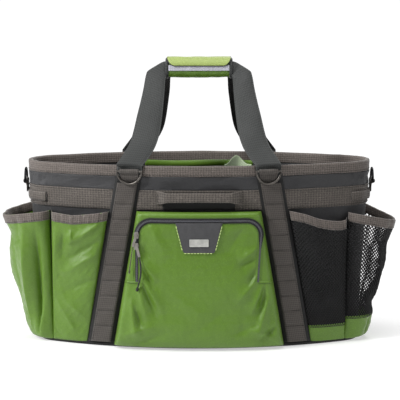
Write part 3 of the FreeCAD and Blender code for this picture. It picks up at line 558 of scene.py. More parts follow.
def eased(places, values):
    """A smooth curve through values at those places along 0-1."""
    fine = np.linspace(0, 1, 201)
    raw = np.interp(fine, places, values)
    for _ in range(3):
        raw = np.convolve(np.pad(raw, 7, "edge"), np.ones(15) / 15, "valid")
    return lambda a: np.interp(a, fine, raw)


def mouth_under(drop):
    """The height of a pocket's mouth, which sags by drop(a)."""
    return lambda a: POCKET_TOP - 0.0005 - drop(a)


def side_pocket(facing, hand, seed, creases, crest=0.0017):
    """The surface of a patch pocket beside a strap, from (a, z, out): a is 0 at the strap and 1 at the seam."""
    def surface(a, z, out=0.0):
        a, z = np.broadcast_arrays(np.asarray(a, float), z)
        inner = strap_x(z) + EXTRA
        x = inner + (SEAM_X + 0.0012 - inner) * a
        u, left, rise = x - inner, SEAM_X - x, z - FLOOR
        stand = 0.0095 + 0.0175 * z / POCKET_TOP
        shape = rounded(u, 0.05) * rounded(left, 0.0035) * (0.25 + 0.75 * rounded(rise, 0.03))
        shape = shape * (1 - 0.12 * (1 - rounded(left, 0.03)))
        soft = rounded(u, 0.025) * rounded(left, 0.015) * rounded(rise, 0.03) * rounded(POCKET_TOP + 0.01 - z, 0.04)
        bumps = (crest * ripple(u, z, 0.07, seed) + 0.35 * crest * ripple(u, z, 0.022, seed + 1, 0.7)
                 + folds(u, z, creases)) * soft
        return side(hand * x, z, 0.0006 + stand * shape + bumps - 0.002 * soft + out, facing)
    return surface


def end_pocket(hand, seed, creases, pinch, waist, crest=0.0019):
    """The surface of the round pocket on an end: a is 0 at the front seam and 1 at the rear one."""
    def surface(a, z, out=0.0):
        a, z = np.broadcast_arrays(np.asarray(a, float), z)
        radius = 0.06 + 0.0314 * z / POCKET_TOP
        centre = 0.272 + 0.0246 * z / POCKET_TOP
        limit = np.arccos(np.clip((0.2826 - centre) / radius, -1, 1))
        angle = (2 * a - 1) * limit
        along = radius * limit * 2 * a
        whole = radius * limit * 2
        shape = rounded(along, pinch[0]) * rounded(whole - along, pinch[1])
        tuck = 0.01 * (1 - rounded(z - FLOOR, 0.035)) * np.cos(angle / 1.3)
        soft = shape * rounded(z - FLOOR, 0.03) * rounded(POCKET_TOP + 0.012 - z, 0.06)
        bumps = (crest * ripple(along, z, 0.075, seed) + 0.4 * crest * ripple(along, z, 0.025, seed + 1, 0.7)
                 + folds(along, z, creases)) * soft + waist(a, z)
        # the pocket never goes below the wall: this is how far the wall is along the same ray
        wall, shift = END_R + GROW * z / RIM, centre - END_X
        least = np.sqrt(wall ** 2 - (shift * np.sin(angle)) ** 2) - shift * np.cos(angle) + 0.0012
        reach = least + (radius - tuck + bumps - least) * shape + out
        return np.stack([hand * (centre + reach * np.cos(angle)), reach * np.sin(angle), z], -1)
    return surface


def dips(*bells):
    """Hollows and swells across a whole pocket, each (height, spread, out)."""
    return lambda a, z: sum(out * np.exp(-((z - level) / spread) ** 2) for level, spread, out in bells) * (
        np.sin(math.pi * a) ** 2)


def cloth(name, surface, mouth, across=70, up=96):
    a = np.concatenate([[0, 0.004, 0.008], np.linspace(0.015, 0.985, across), [0.992, 0.996, 1]])[:, None]
    z = FLOOR + (mouth(a) - FLOOR) * np.linspace(0, 1, up)[None, :]
    return sheet(name, surface(a, z, -CLOTH), surface(a, z))


def binding(name, surface, mouth, across=90, seed=0):
    """Webbing folded over a pocket's mouth, with its rounded fold on top."""
    a = np.linspace(0, 1, across)
    phase = np.random.default_rng(seed).uniform(0, 6.28, 3)
    uneven = 0.0004 * sum(np.sin(k * 6.28 * a + p) for k, p in zip((3, 7, 13), phase))
    half = BIND * 0.5
    section = [(0.0009, BIND), (0.0015, BIND - 0.0008), (0.0017, BIND * 0.7), (0.0015, BIND * 0.35), (0.0016, 0.0022),
               (0.0008, 0.0002), (-0.0008, -0.0004), (-0.0026, 0.0004), (-0.0032, 0.0022), (-0.003, half),
               (-0.003, BIND - 0.0008), (-0.0024, BIND), (-0.0019, BIND - 0.001), (-0.002, half), (-0.0012, 0.0032),
               (0.0002, 0.0032), (0.0006, half), (0.0007, BIND - 0.001)]
    return swept(name, section, lambda out, drop: surface(a, mouth(a) - drop, out + uneven))


def net(name, surface, mouth, low, width):
    """Real open netting in diamonds, each strand a small closed bar."""
    cell, yarn, top = 0.0056, 0.003, 0.012
    ni = int(round(width / (cell * 0.7)))
    nj = int(round((float(np.mean(mouth(np.linspace(0, 1, 9)))) - low) / (cell * 0.7)))
    ni, nj = ni + ni % 2, nj + nj % 2
    a, b = np.linspace(0, 1, ni + 1)[:, None], np.linspace(0, 1, nj + 1)[None, :]
    points = surface(a, low + (mouth(a) - top - low) * b, -0.0008).reshape(-1, 3)
    faces = []
    for i in range(ni + 1):
        for j in range(nj + 1):
            if (i + j) % 2:
                ring = [(i - 1, j), (i, j - 1), (i + 1, j), (i, j + 1)]
                ring = [p * (nj + 1) + q for p, q in ring if 0 <= p <= ni and 0 <= q <= nj]
                if len(ring) > 2:
                    faces.append(ring)
    used = sorted({k for f in faces for k in f})
    index = {k: n for n, k in enumerate(used)}
    obj = add(name, points[used], [[index[k] for k in f] for f in faces], smooth=False)
    wire = obj.modifiers.new("yarn", "WIREFRAME")
    wire.thickness, wire.use_even_offset, wire.use_boundary = yarn, False, True
    bpy.context.view_layer.update()
    mesh = bpy.data.meshes.new_from_object(obj.evaluated_get(bpy.context.evaluated_depsgraph_get()))
    obj.modifiers.clear()
    obj.data = mesh
    mesh.shade_smooth()
    return obj


def stitched(name, surface, lines, look="moss_thread", slot="green_fabric"):
    """Rows of stitches on a surface: each line is (a values, z values, out)."""
    sew(name, [run for a, z, out in lines for run in dashes(surface(a, z, out))], look, slot)


def sewn_cloth(name, node, *args, **kwargs):
    finish(cloth(name, *args, **kwargs), "green", "green_fabric", node)


def bound(word, node, surface, mouth, seed, across=90):
    """A pocket's binding."""
    finish(binding(f"{word}_binding", surface, mouth, across, seed), "webbing", "taupe_webbing", f"{node}_binding")


def mouth_stitches(word, surface, mouth, *extra):
    """A row of stitches along a pocket's binding, with any extra rows."""
    stitched(f"{word}_stitches", surface, [(LINE, mouth(LINE) - BIND + 0.002, 0.0019), *extra], "dark_thread",
             "taupe_webbing")


def netted(word, node, surface, mouth, top, width, across=70):
    """Netting on a fabric foot that ends at height top."""
    finish(net(f"{word}_net", surface, mouth, top - 0.0045, width), "mesh", "mesh", node)
    sewn_cloth(f"{word}_foot_cloth", f"{node}_foot", surface, lambda a: top + 0 * a, across, 24)


def build_pockets():
    gentle = mouth_under(eased([0, 0.25, 0.6, 0.85, 1], [0.001, 0.0045, 0.0095, 0.0065, 0.0045]))
    # creases run from (across from the strap, height) to a fading far end
    left_creases = mm((16, 238, 70, 196, 9, 7), (67, 226, 62, 196, 7, 7.5), (10, 205, 78, 158, 8, -6),
                      (12, 180, 74, 135, 9, 5.5), (96, 225, 86, 120, 10, 5), (80, 215, 74, 165, 7, -6),
                      (8, 130, 62, 100, 9, -4.5), (30, 30, 92, 112, 10, 5), (14, 55, 60, 90, 8, 4.5),
                      (100, 40, 72, 95, 8, -4.5), (50, 12, 100, 58, 8, -4))
    surface = side_pocket(-1, -1, 11, left_creases)
    sewn_cloth("front_left_pocket_cloth", "front_left_pocket", surface, gentle)
    bound("front_left", "front_left_pocket", surface, gentle, 1)
    mouth_stitches("front_left", surface, gentle, (np.full(400, 0.985), 0.012 + 0.235 * LINE, 0.0004))
    surface = side_pocket(1, -1, 21, mm((20, 220, 80, 160, 11, 4), (90, 50, 50, 130, 10, 3), (10, 80, 70, 110, 9, -3)))
    sewn_cloth("rear_left_pocket_cloth", "rear_left_pocket", surface, gentle)
    rear = [binding("rear_left_binding", surface, gentle, seed=2)]

    # the front mesh pocket's mouth hangs low beside the end seam
    loose = mouth_under(eased([0, 0.08, 0.28, 0.5, 0.72, 0.9, 0.97, 1],
                              [0, 0.0005, 0.006, 0.016, 0.021, 0.023, 0.021, 0.017]))
    dents = mm((30, 190, 80, 120, 16, 6), (90, 200, 85, 100, 12, -6), (20, 70, 90, 90, 14, 5),
               (10, 150, 60, 50, 14, -5))
    for word, facing, mouth, seed in (("front_mesh", -1, loose, 31), ("rear_mesh", 1, gentle, 41)):
        surface = side_pocket(facing, 1, seed, dents, crest=0.0012)
        netted(word, f"{word}_pocket", surface, mouth, 0.0385, 0.125)
        stitched(f"{word}_foot_stitches", surface, [(LINE, np.full(400, 0.036), 0.0004)])
        if facing < 0:
            bound(word, f"{word}_pocket", surface, mouth, 3)
            mouth_stitches(word, surface, mouth)
        else:
            rear.append(binding("rear_mesh_binding", surface, mouth, seed=4))
    rear.append(build_slip_pocket())
    finish(join("rear_bindings", rear), "webbing", "taupe_webbing", "rear_pocket_bindings")

    # the left end pocket: a deep valley beside the front seam, long upright folds, a dent under the mouth
    mouth = mouth_under(eased([0, 0.12, 0.3, 0.5, 0.7, 0.88, 1], [0.004, 0.008, 0.016, 0.021, 0.015, 0.005, 0]))
    creases = mm((29, 20, 33, 235, 8, -21), (52, 30, 58, 240, 10, 11), (22, 50, 28, -10, 14, 9),
                 (86, 50, 92, 210, 11, -6), (120, 60, 118, 200, 13, 6), (150, 220, 142, 90, 10, -6),
                 (70, 245, 85, 190, 8, -3.5), (135, 245, 130, 200, 9, -6), (195, 40, 180, 200, 12, 4.5),
                 (40, 15, 75, 70, 10, -3.5))
    waist = dips((0.207, 0.02, -0.0065), (0.125, 0.04, 0.003))
    surface = end_pocket(-1, 51, creases, (0.038, 0.03), waist)
    sewn_cloth("left_end_pocket_cloth", "left_end_pocket", surface, mouth, 110)
    bound("left_end", "left_end_pocket", surface, mouth, 5, 140)
    mouth_stitches("left_end", surface, mouth)

    mouth = mouth_under(eased([0, 0.1, 0.3, 0.5, 0.7, 0.9, 1], [0.008, 0.012, 0.025, 0.033, 0.024, 0.006, 0]))
    creases = mm((35, 60, 60, 220, 14, -6), (80, 60, 72, 200, 13, 5), (115, 70, 100, 190, 12, -4),
                 (160, 50, 150, 200, 14, 4.5), (55, 5, 70, 50, 8, -7))
    surface = end_pocket(1, 61, creases, (0.045, 0.03), dips((0.072, 0.016, -0.0075), (0.185, 0.02, -0.003)))
    netted("right_end", "right_end_mesh_pocket", surface, mouth, 0.0505, 0.27, 110)
    bound("right_end", "right_end_mesh_pocket", surface, mouth, 6, 140)
    stitched("right_end_foot_stitches", surface, [(LINE, np.full(400, 0.0478), 0.0004)])
    mouth_stitches("right_end", surface, mouth)


# ---------------------------------------------------------------- middle pockets
def middle_pocket(facing, creases, seed, top, foot, crest=0.0013, calm=lambda x, z: 1.0):
    """The surface of a box pocket between the straps as a function of (x, z, out)."""
    def surface(x, z, out=0.0):
        x, z = np.broadcast_arrays(np.asarray(x, float), z)
        half = strap_x(z) - EXTRA
        inset = half - np.abs(x)
        stand = 0.038 - 0.016 * z / 0.262
        down = foot * (1 - rounded(z - 0.003, 0.055, 2.0))
        shape = 0.06 + 0.94 * rounded(inset, 0.011, 2.6)
        lift = 0.12 + 0.88 * rounded(top + 0.0005 - z, 0.007, 2.4) if facing < 0 else 1.0
        soft = rounded(inset - 0.002, 0.014) * rounded(z - 0.002, 0.014) * rounded(top + 0.004 - z, 0.03)
        bumps = (crest * ripple(x, z, 0.11, seed) + 0.3 * crest * ripple(x, z, 0.028, seed + 1, 0.7)
                 + folds(x, z, creases)) * soft * calm(x, z)
        return side(x, z, 0.0004 + (stand - down) * shape * lift + bumps + out, facing)
    return surface


def middle_cloth(name, surface, low, top, *nodes):
    inset = np.array([0.0, 0.0003, 0.0008, 0.0016, 0.003, 0.005, 0.0075, 0.011, 0.015])
    q = np.concatenate([-np.ones(9), np.linspace(-1, 1, 101)[1:-1], np.ones(9)])
    push = np.concatenate([inset, np.full(99, 0.015), inset[::-1]])
    z = np.concatenate([low + np.array([0, 0.001, 0.003, 0.006]), np.linspace(low + 0.01, top - 0.012, 84),
                        top - np.array([0.01, 0.0075, 0.005, 0.003, 0.0016, 0.0008, 0.0003, 0.0])])
    x = q[:, None] * (strap_x(z)[None, :] - EXTRA - push[:, None])
    finish(sheet(name, surface(x, z[None, :], -CLOTH), surface(x, z[None, :])), "green", "green_fabric", *nodes)


def build_slip_pocket():
    creases = mm((-120, 230, -30, 150, 14, 4), (110, 220, 50, 120, 13, -4), (-130, 30, -50, 100, 13, 4.5),
                 (120, 20, 60, 90, 12, 4))
    surface = middle_pocket(1, creases, 71, POCKET_TOP, 0.016)
    middle_cloth("rear_slip_cloth", surface, FLOOR, POCKET_TOP - 0.0005, "rear_slip_pocket")
    return binding("slip_binding", lambda a, z, out: surface((2 * a - 1) * (strap_x(z) - EXTRA - 0.0006), z, out),
                   mouth_under(lambda a: 0 * a), 120, 7)


# ---------------------------------------------------------------- zipped pocket
ZIP_HALF, ZIP_TOP, ZIP_FOOT, ZIP_CORNER = 0.117, 0.25, 0.133, 0.028      # the arch's half width, heights and radius


def zip_path(step=0.002):
    """The zip's line on the face as (x, z) points with the in-plane normals that point out of the arch."""
    turn = np.linspace(0, math.pi / 2, 24)
    up = np.arange(ZIP_FOOT, ZIP_TOP - ZIP_CORNER, step)
    left = np.stack([np.full_like(up, -ZIP_HALF), up, np.full_like(up, -1), np.zeros_like(up)], 1)
    bend = np.stack([-ZIP_HALF + ZIP_CORNER * (1 - np.cos(turn)), ZIP_TOP - ZIP_CORNER * (1 - np.sin(turn)),
                     -np.cos(turn), np.sin(turn)], 1)
    level = np.arange(-ZIP_HALF + ZIP_CORNER, 0, step)[1:]
    flat = np.stack([level, np.full_like(level, ZIP_TOP), np.zeros_like(level), np.ones_like(level)], 1)
    half = np.concatenate([left, bend, flat])
    whole = np.concatenate([half, half[::-1] * [-1, 1, -1, 1]])
    # the right leg is pulled in by the bulging face, which also laps over half of it
    down = np.clip((ZIP_TOP - ZIP_CORNER - whole[:, 1]) / 0.089, 0, 1) * (whole[:, 0] > 0)
    whole[:, 0] -= 0.006 * down ** 0.8
    fall = np.clip((ZIP_TOP - ZIP_CORNER - whole[:, 1]) / 0.03, 0, 1)
    return np.column_stack([whole, 1 - np.where(whole[:, 0] > 0, 0.7, 0.45) * fall])


def beside_zip(x, z):
    """0 on the zip's line, where the cloth lies flat under the sliders, rising to 1 beside it."""
    qx, qz = np.abs(x) - (ZIP_HALF - ZIP_CORNER), z - (ZIP_TOP - ZIP_CORNER)
    away = np.hypot(np.maximum(qx, 0), np.maximum(qz, 0)) + np.minimum(np.maximum(qx, qz), 0) - ZIP_CORNER
    away = np.hypot(away, np.maximum(ZIP_FOOT - z, 0))
    return 1 - np.exp(-(away / 0.01) ** 3)


def lay(name, surface, path, section):
    """A bar of (across, out) section points carried along a path on a surface."""
    x, z, nx, nz = path[:, :4].T
    width = path[:, 4] if path.shape[1] > 4 else 1
    return swept(name, section, lambda q, out: surface(x + q * width * nx, z + q * width * nz, out))


def boxes(name, places):
    """Small closed blocks, each from its centre and three half-edge vectors."""
    verts, faces = [], []
    for c, a, b, d in places:
        start = len(verts)
        verts += [c + i * a + j * b + k * d for i in (-1, 1) for j in (-1, 1) for k in (-1, 1)]
        faces += [[start + k for k in f] for f in
                  ((0, 1, 3, 2), (4, 6, 7, 5), (0, 4, 5, 1), (2, 3, 7, 6), (0, 2, 6, 4), (1, 5, 7, 3))]
    return add(name, verts, faces, smooth=False)


def build_zip_pocket():
    creases = mm((-112, 182, -78, 132, 6.5, 8.5), (-108, 168, -84, 118, 6, -8), (-112, 152, -66, 72, 7.5, 9.5),
                 (-104, 128, -78, 62, 6, -8.5), (-114, 130, -98, 58, 7, 7), (-112, 210, -88, 168, 6, -5),
                 (-128, 98, -118, 20, 7, 7.5), (-122, 85, -104, 30, 6, -8), (-140, 30, -80, 52, 8, 6),
                 (-120, 12, -50, 40, 9, -5), (108, 196, 74, 172, 8, 7), (104, 178, 70, 158, 7, -6),
                 (108, 158, 88, 112, 7.5, -8), (110, 142, 70, 92, 8, 8), (118, 120, 98, 70, 7, 7),
                 (124, 128, 112, 60, 5.5, -7.5), (130, 100, 112, 30, 7, 8), (144, 45, 110, 15, 7, -8.5),
                 (138, 24, 84, 50, 8, 6.5), (112, 52, 60, 30, 9, -5), (-50, 110, 40, 50, 22, 4),
                 (85, 236, 45, 180, 13, -4), (-90, 238, -60, 175, 12, 4.5), (-20, 30, 60, 85, 16, -3.5))
    surface = middle_pocket(-1, creases, 81, 0.2655, 0.027, 0.0017, beside_zip)
    middle_cloth("zip_pocket_cloth", surface, 0.0055, 0.2655, "zip_pocket_face", "zip_pocket_gusset")

    path = zip_path()
    section = mm((-5, 0.1), (-5, 0.6), (-4.7, 0.8), (-2.6, 0.9), (-1.5, 1), (-1.1, 0.4), (1.1, 0.4), (1.5, 1),
                 (2.6, 0.9), (4.7, 0.8), (5, 0.6), (5, 0.1))
    finish(lay("zip_tape", surface, path, section), "tape", "zip_tape", "zipper_tape")
    reach = length_along(path[:, :2])
    teeth = []
    for index, s in enumerate(np.arange(0.001, reach[-1], 0.0015)):
        x, z, nx, nz = (np.interp(s, reach, path[:, k]) for k in range(4))
        shift = 0.0003 * (-1) ** index
        x, z = x + shift * nx, z + shift * nz
        centre = surface(x, z, 0.0011)
        across, along = (surface(x + a, z + b, 0.0011) - centre
                         for a, b in ((0.0016 * nx, 0.0016 * nz), (-0.0005 * nz, 0.0005 * nx)))
        teeth.append((centre, across, along, surface(x, z, 0.0015) - centre))
    # the coil's teeth carry that light grey-blue, a painted highlight down the zip's middle
    finish(boxes("zip_teeth", teeth), "coil", "zip_metal")
    seams = []
    for away in (-0.0066, 0.0066):
        line = path[:, :2] + away * np.maximum(path[:, 4:], 0.9) * path[:, 2:4]
        seams += dashes(surface(*line.T, 0.0003))
    for word, hand in (("left", -1), ("right", 1)):
        level = hand * np.linspace(0.1125, strap_x(0.1315) - EXTRA - 0.001, 60)
        seams += dashes(surface(level, np.full(60, 0.13), 0.0003))
        ridge = np.stack([level, np.full(60, 0.1325), np.zeros(60), np.ones(60)], 1)
        fold = lay(f"zip_end_fold_{word}", surface, ridge,
                   mm((-1.6, -0.2), (-1.4, 1), (0, 1.6), (1.6, 0.8), (2, -0.2)))
        finish(fold, "green", "green_fabric")
    sew("zip_stitches", seams, "moss_thread", "green_fabric")

    # the patch, narrower at its foot, with its outline sewn in a pale thread
    z = np.concatenate([[0.1898, 0.1902, 0.1912], np.linspace(0.193, 0.2462, 40)])[None, :]
    half = np.interp(z, [0.1898, 0.1902, 0.1912, 0.1935, 0.2465], [0.0262, 0.0276, 0.029, 0.0304, 0.044])
    q = np.concatenate([[-1, -0.985], np.linspace(-0.95, 0.95, 31), [0.985, 1]])[:, None]
    worn = 0.0002 * ripple(q * 0.04, z, 0.02, 5)
    front = surface(q * half, z, 0.0026 - 0.0009 * (np.abs(q) > 0.99) + worn)
    finish(sheet("patch_sheet", surface(q * half, z, 0.0012), front), "patch", "patch_leather", "patch")
    height = 0.1955 + 0.0485 * np.linspace(0.001, 1, 200)
    width = np.interp(height, [0.1935, 0.2465], [0.0304, 0.044]) + 0.0006
    outline = [(-width, height, 0.0028), (width, height, 0.0028),
               (np.linspace(-0.027944, 0.028, 200), np.full(200, 0.1892), 0.0024)]
    seams = [run for line in outline for run in dashes(surface(*line), 0.0044, 0.0016)]
    sew("patch_stitches", seams, "green_thread", "patch_leather", 0.0008, 6)
    low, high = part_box("badge_plate")
    middle, bend, inset = (low + high) / 2, 0.0012, 0.0009
    ring = []
    for k in np.linspace(0, 2 * math.pi, 80, endpoint=False):
        across, up = math.cos(k), math.sin(k)
        ring.append([middle.x + math.copysign(high.x - middle.x - inset - bend, across) + bend * across, low.y,
                     middle.z + math.copysign(high.z - middle.z - inset - bend, up) + bend * up])
    finish(tubes("badge_rim", [ring], 0.00045, 6, loop=True), "badge", "badge_metal")


PULL_CORD_UPPER = mm((-124.4, -156.2, 200.4), (-125.8, -157.6, 188), (-127.8, -158, 175), (-129.8, -157, 162),
                     (-131, -154.8, 150))
PULL_CORD_LOWER = mm((-111.6, -158.8, 180.8), (-109.4, -160.6, 168.5), (-108.6, -161.6, 155), (-110.2, -161, 141.5),
                     (-113.8, -159.6, 129), (-116.6, -158.4, 117))


def cord(name, points, radius, look, body, node):
    """A zip pull's cord on a smooth curve, with the knot at its end."""
    data = bpy.data.curves.new(name, "CURVE")
    data.dimensions, data.bevel_depth, data.bevel_resolution, data.resolution_u = "3D", radius, 4, 12
    data.use_fill_caps = True
    spline = data.splines.new("NURBS")
    spline.points.add(len(points) - 1)
    for point, place in zip(spline.points, points):
        point.co = (*place, 1)
    spline.order_u, spline.use_endpoint_u = 3, True
    line = finish(link(name, data), look, look, node, body=body)
    end = Vector(points[-1])
    aim = (end - Vector(points[-2])).normalized()
    across = aim.orthogonal().normalized()
    other = aim.cross(across)
    turns = []
    for k, swell in enumerate((1.25, 1.5, 1.25)):
        middle, size = end - aim * (0.001 + 0.0022 * k), radius * swell
        turns.append([list(middle + across * size * math.cos(a) + other * size * math.sin(a))
                      for a in np.linspace(0, 2 * math.pi, 14, endpoint=False)])
    tied = finish(tubes(f"{name}_knot", turns, radius * 0.6, 6, loop=True), look, look, body=body)


def build_cords():
    cord("upper_pull_cord", PULL_CORD_UPPER, 0.001, "grey_cord", "puller_upper", "pull_cord_upper")
    cord("lower_pull_cord", PULL_CORD_LOWER, 0.0015, "black_cord", "puller_lower", "pull_cord_lower")


# ---------------------------------------------------------------- handles and grip
LEAN = math.radians(36)               # how far a raised handle leans in over the bag
HINGE_Y, HINGE_Z = -0.141, 0.3535    # the front handle's fold line, which the rear one's mirrors


def smooth_line(points, count):
    """Even points along a rounded version of a polyline (Chaikin's corner cutting)."""
    line = np.asarray(points, float)
    for _ in range(4):
        a, b = line[:-1] * 0.75 + line[1:] * 0.25, line[:-1] * 0.25 + line[1:] * 0.75
        line = np.concatenate([line[:1], np.stack([a, b], 1).reshape(-1, line.shape[1]), line[-1:]])
    reach = length_along(line)
    return np.stack([np.interp(np.linspace(0, reach[-1], count), reach, way) for way in line.T], 1)


def handle_surface(facing):
    """One raised handle's outer and inner edges, from the left of the bag to the right, its rows and its normal."""
    # each row: outer x, outer height, inner x, inner height, up the handle's own plane from the hinge
    left = mm((154.8, 0, 105, 0), (147, 14, 97.5, 10), (138.5, 30, 89, 24), (130, 48, 82, 38), (123.5, 75, 76.5, 56),
              (118, 105, 72.8, 78), (113, 130, 70, 105), (109.2, 152, 67.8, 132), (105.2, 177, 66, 158),
              (104, 188, 65.5, 170), (101, 204, 65, 184), (98.5, 208.5, 64.5, 192), (84, 219, 62, 200),
              (70, 229, 57, 206.5), (64, 230, 52, 206.2), (48, 230, 44, 206.2), (20, 230, 20, 205.8))
    if facing > 0:
        # the rear one is gathered a little nearer the middle
        pull = [0, 0.001, 0.002, 0.0035, 0.005, 0.006, 0.007, 0.008, *[0.009] * 5, 0.008, 0.006, 0.003, 0]
        left = [(a - 0.6 * p, b, c - p, d) for (a, b, c, d), p in zip(left, pull)]
    rows = smooth_line([(-a, b, -c, d) for a, b, c, d in left] + left[::-1], 240)
    up = np.array([0, -facing * math.sin(LEAN), math.cos(LEAN)])
    base, sideways = np.array([0, -facing * HINGE_Y, HINGE_Z]), np.array([1, 0, 0])
    outer, inner = (base + rows[:, k:k + 1] * sideways + rows[:, k + 1:k + 2] * up for k in (0, 2))
    return outer, inner, rows, np.array([0, facing * math.cos(LEAN), math.sin(LEAN)])


def handle_webbing(name, facing):
    """Webbing that rises from under the ring tabs, bends in over the rim and is gathered into the grip."""
    outer, inner, rows, normal = handle_surface(facing)
    q = np.linspace(-1, 1, 13)
    height = np.minimum(rows[:, 1], rows[:, 3])
    cup = 0.003 * np.clip(height / 0.05, 0, 1) * np.clip((0.225 - height) / 0.05, 0, 1)
    roll = 0.0012 * np.sin(rows[:, 1] * 60 + 1)
    places = np.concatenate([q, q[::-1]])
    edges = 0.0011 * np.sqrt(np.maximum(0, 1 - np.abs(places) ** 16)) * np.repeat([1, -1], 13)
    raised = np.stack([(outer + inner) / 2 + (outer - inner) / 2 * p
                       + normal * (edge + cup * (1 - p * p) + roll * p)[:, None] for p, edge in zip(places, edges)], 1)
    # its feet, down the outside of the rim from the bend to under the rings' tabs: (height, off the wall)
    down = mm((330, 5), (334, 5.4), (338, 5.6), (342, 5.6), (345.5, 5.8), (348.5, 6.2), (350.8, 6.8))
    feet = [np.stack([side(hand * (0.1306 + 0.024 * places), level, off + edges, facing) for level, off in down])
            for hand in (-1, 1)]
    return bar(name, np.concatenate([feet[0], raised, feet[1][::-1]]))


def rounded_loop(deep, tall, corner):
    """A rounded rectangle in (y, z) about the middle, anticlockwise from +y."""
    points = []
    for cy, cz, start in ((1, 1, 0), (-1, 1, 90), (-1, -1, 180), (1, -1, 270)):
        for turn in np.radians(np.linspace(start, start + 90, 12)):
            points.append((cy * (deep - corner) + corner * math.cos(turn),
                           cz * (tall - corner) + corner * math.sin(turn)))
    return np.array(points)


def build_handles():
    for word, facing, look in (("front", -1, "grey"), ("rear", 1, "black")):
        webbing = handle_webbing(f"{word}_handle_webbing", facing)
        finish(webbing, look, f"{look}_webbing", f"{word}_handle", body=None)
        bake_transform(webbing)

    low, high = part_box("grip_wrap")
    middle, half = (low + high) / 2, high.x
    x = np.concatenate([[-half, -half + 0.0008, -half + 0.002], np.linspace(-half + 0.004, half - 0.004, 60),
                        [half - 0.002, half - 0.0008, half]])[:, None]
    outer, inner = rounded_loop(0.025, 0.0185, 0.014), rounded_loop(0.0226, 0.0161, 0.0116)
    soft = 0.0007 * ripple(x, np.arange(len(outer)) * 0.003, 0.035, 91, 0.4) - 0.0008 - (np.abs(x) / half) ** 6 * 0.0012
    out = outer + outer / np.linalg.norm(outer, axis=1, keepdims=True) * soft[..., None]
    skins = [np.concatenate([np.broadcast_to(x[..., None], soft.shape + (1,)),
                             np.broadcast_to(skin, out.shape) + [middle.y, middle.z]], 2) for skin in (out, inner)]
    tube = grid("grip_wrap_tube", np.concatenate([skins[0], skins[1][::-1]]), loop_i=True, loop_j=True)
    finish(tube, "green", "green_fabric", "grip_wrap", body="rear_handle")

    # the pale strip let into the front, and the bound ends
    w, z = np.linspace(-0.0585, 0.0585, 60)[:, None], np.linspace(0.5225, 0.5335, 10)[None, :]
    face = -0.0249 + 0.0003 * ripple(w, z, 0.03, 93, 0.5)
    skins = [np.stack(np.broadcast_arrays(w, face + depth, z), 2) for depth in (0.0004, -0.0006)]
    finish(sheet("grip_strip", *skins), "pale", "flap_fabric", body="rear_handle")
    ends = []
    ring = rounded_loop(0.0245, 0.018, 0.0135)
    outward = ring / np.linalg.norm(ring, axis=1, keepdims=True)
    section = mm((1.2, -3.5), (2, -2.5), (2.2, 0), (2, 1.8), (0.8, 2.6), (-3, 2.6), (-3.8, 1.8), (-3.8, -2.8),
                 (-3, -3.6))
    for hand in (-1, 1):
        points = np.stack([np.concatenate([np.full((len(ring), 1), hand * (half + along)),
                                           ring + outward * (out - 0.0008) + [middle.y, middle.z]], 1)
                           for out, along in section], 1)
        ends.append(grid(f"grip_end_{hand}", points, loop_i=True, loop_j=True))
    finish(join("grip_end_binding", ends), "grey", "grey_webbing", body="rear_handle")

    # the flap: over the top and down the front as (y, z) points, its front corners cut off
    path = smooth_line(mm((12, 546.6), (6, 547), (-4, 547), (-14, 546.8), (-20, 544.8), (-24.5, 540.8), (-26.6, 537),
                          (-27, 534.5), (-27.1, 532.5)), 40)
    step = np.gradient(path, axis=0)
    step /= np.linalg.norm(step, axis=1, keepdims=True)
    outward = np.stack([-step[:, 1], step[:, 0]], 1)
    s, q = np.linspace(0, 1, 40), np.linspace(-1, 1, 70)[:, None]
    front = 1 - np.sqrt(1 - np.clip((s - 0.6) / 0.4, 0, 1) ** 2 * 0.999)
    wide = 0.061 - 0.01 * np.sqrt(1 - np.clip(s / 0.12, 0, 1)) - 0.015 * front
    uneven = 0.0003 * ripple(q * 0.056, s * 0.04, 0.03, 95)
    top, under = (np.concatenate([(q * wide)[..., None], path + outward * (out + uneven)[..., None]], 2)
                  for out in (0.0, -0.0016))
    finish(sheet("grip_flap_cloth", under, top), "flap", "flap_fabric", "grip_flap", body="grip_flap")
    border = smooth_line(np.concatenate([top[0, 3:], top[1:-1, -1], top[-1, 3:][::-1]]), 200)
    finish(tubes("grip_flap_binding", [border], 0.0014, 8), "grey", "grey_webbing", body="grip_flap")


# ---------------------------------------------------------------- ring tabs and grab handles
RING_R = 0.59                         # the long sides' radius where their rings hang
# a tab's section round a ring's bar, its two ends sewn down: (away from the wall, up)
TAB = mm((-4, -20.5), (-2.4, -20.5), (-2.2, -10), (-1.4, -5), (2.6, -3.6), (4.2, -1.2), (4.4, 1), (3.2, 3.4),
         (0.6, 4.6), (-2.4, 4), (-4.2, 1.8), (-4.6, -1), (-4.4, -5), (-4.2, -12))


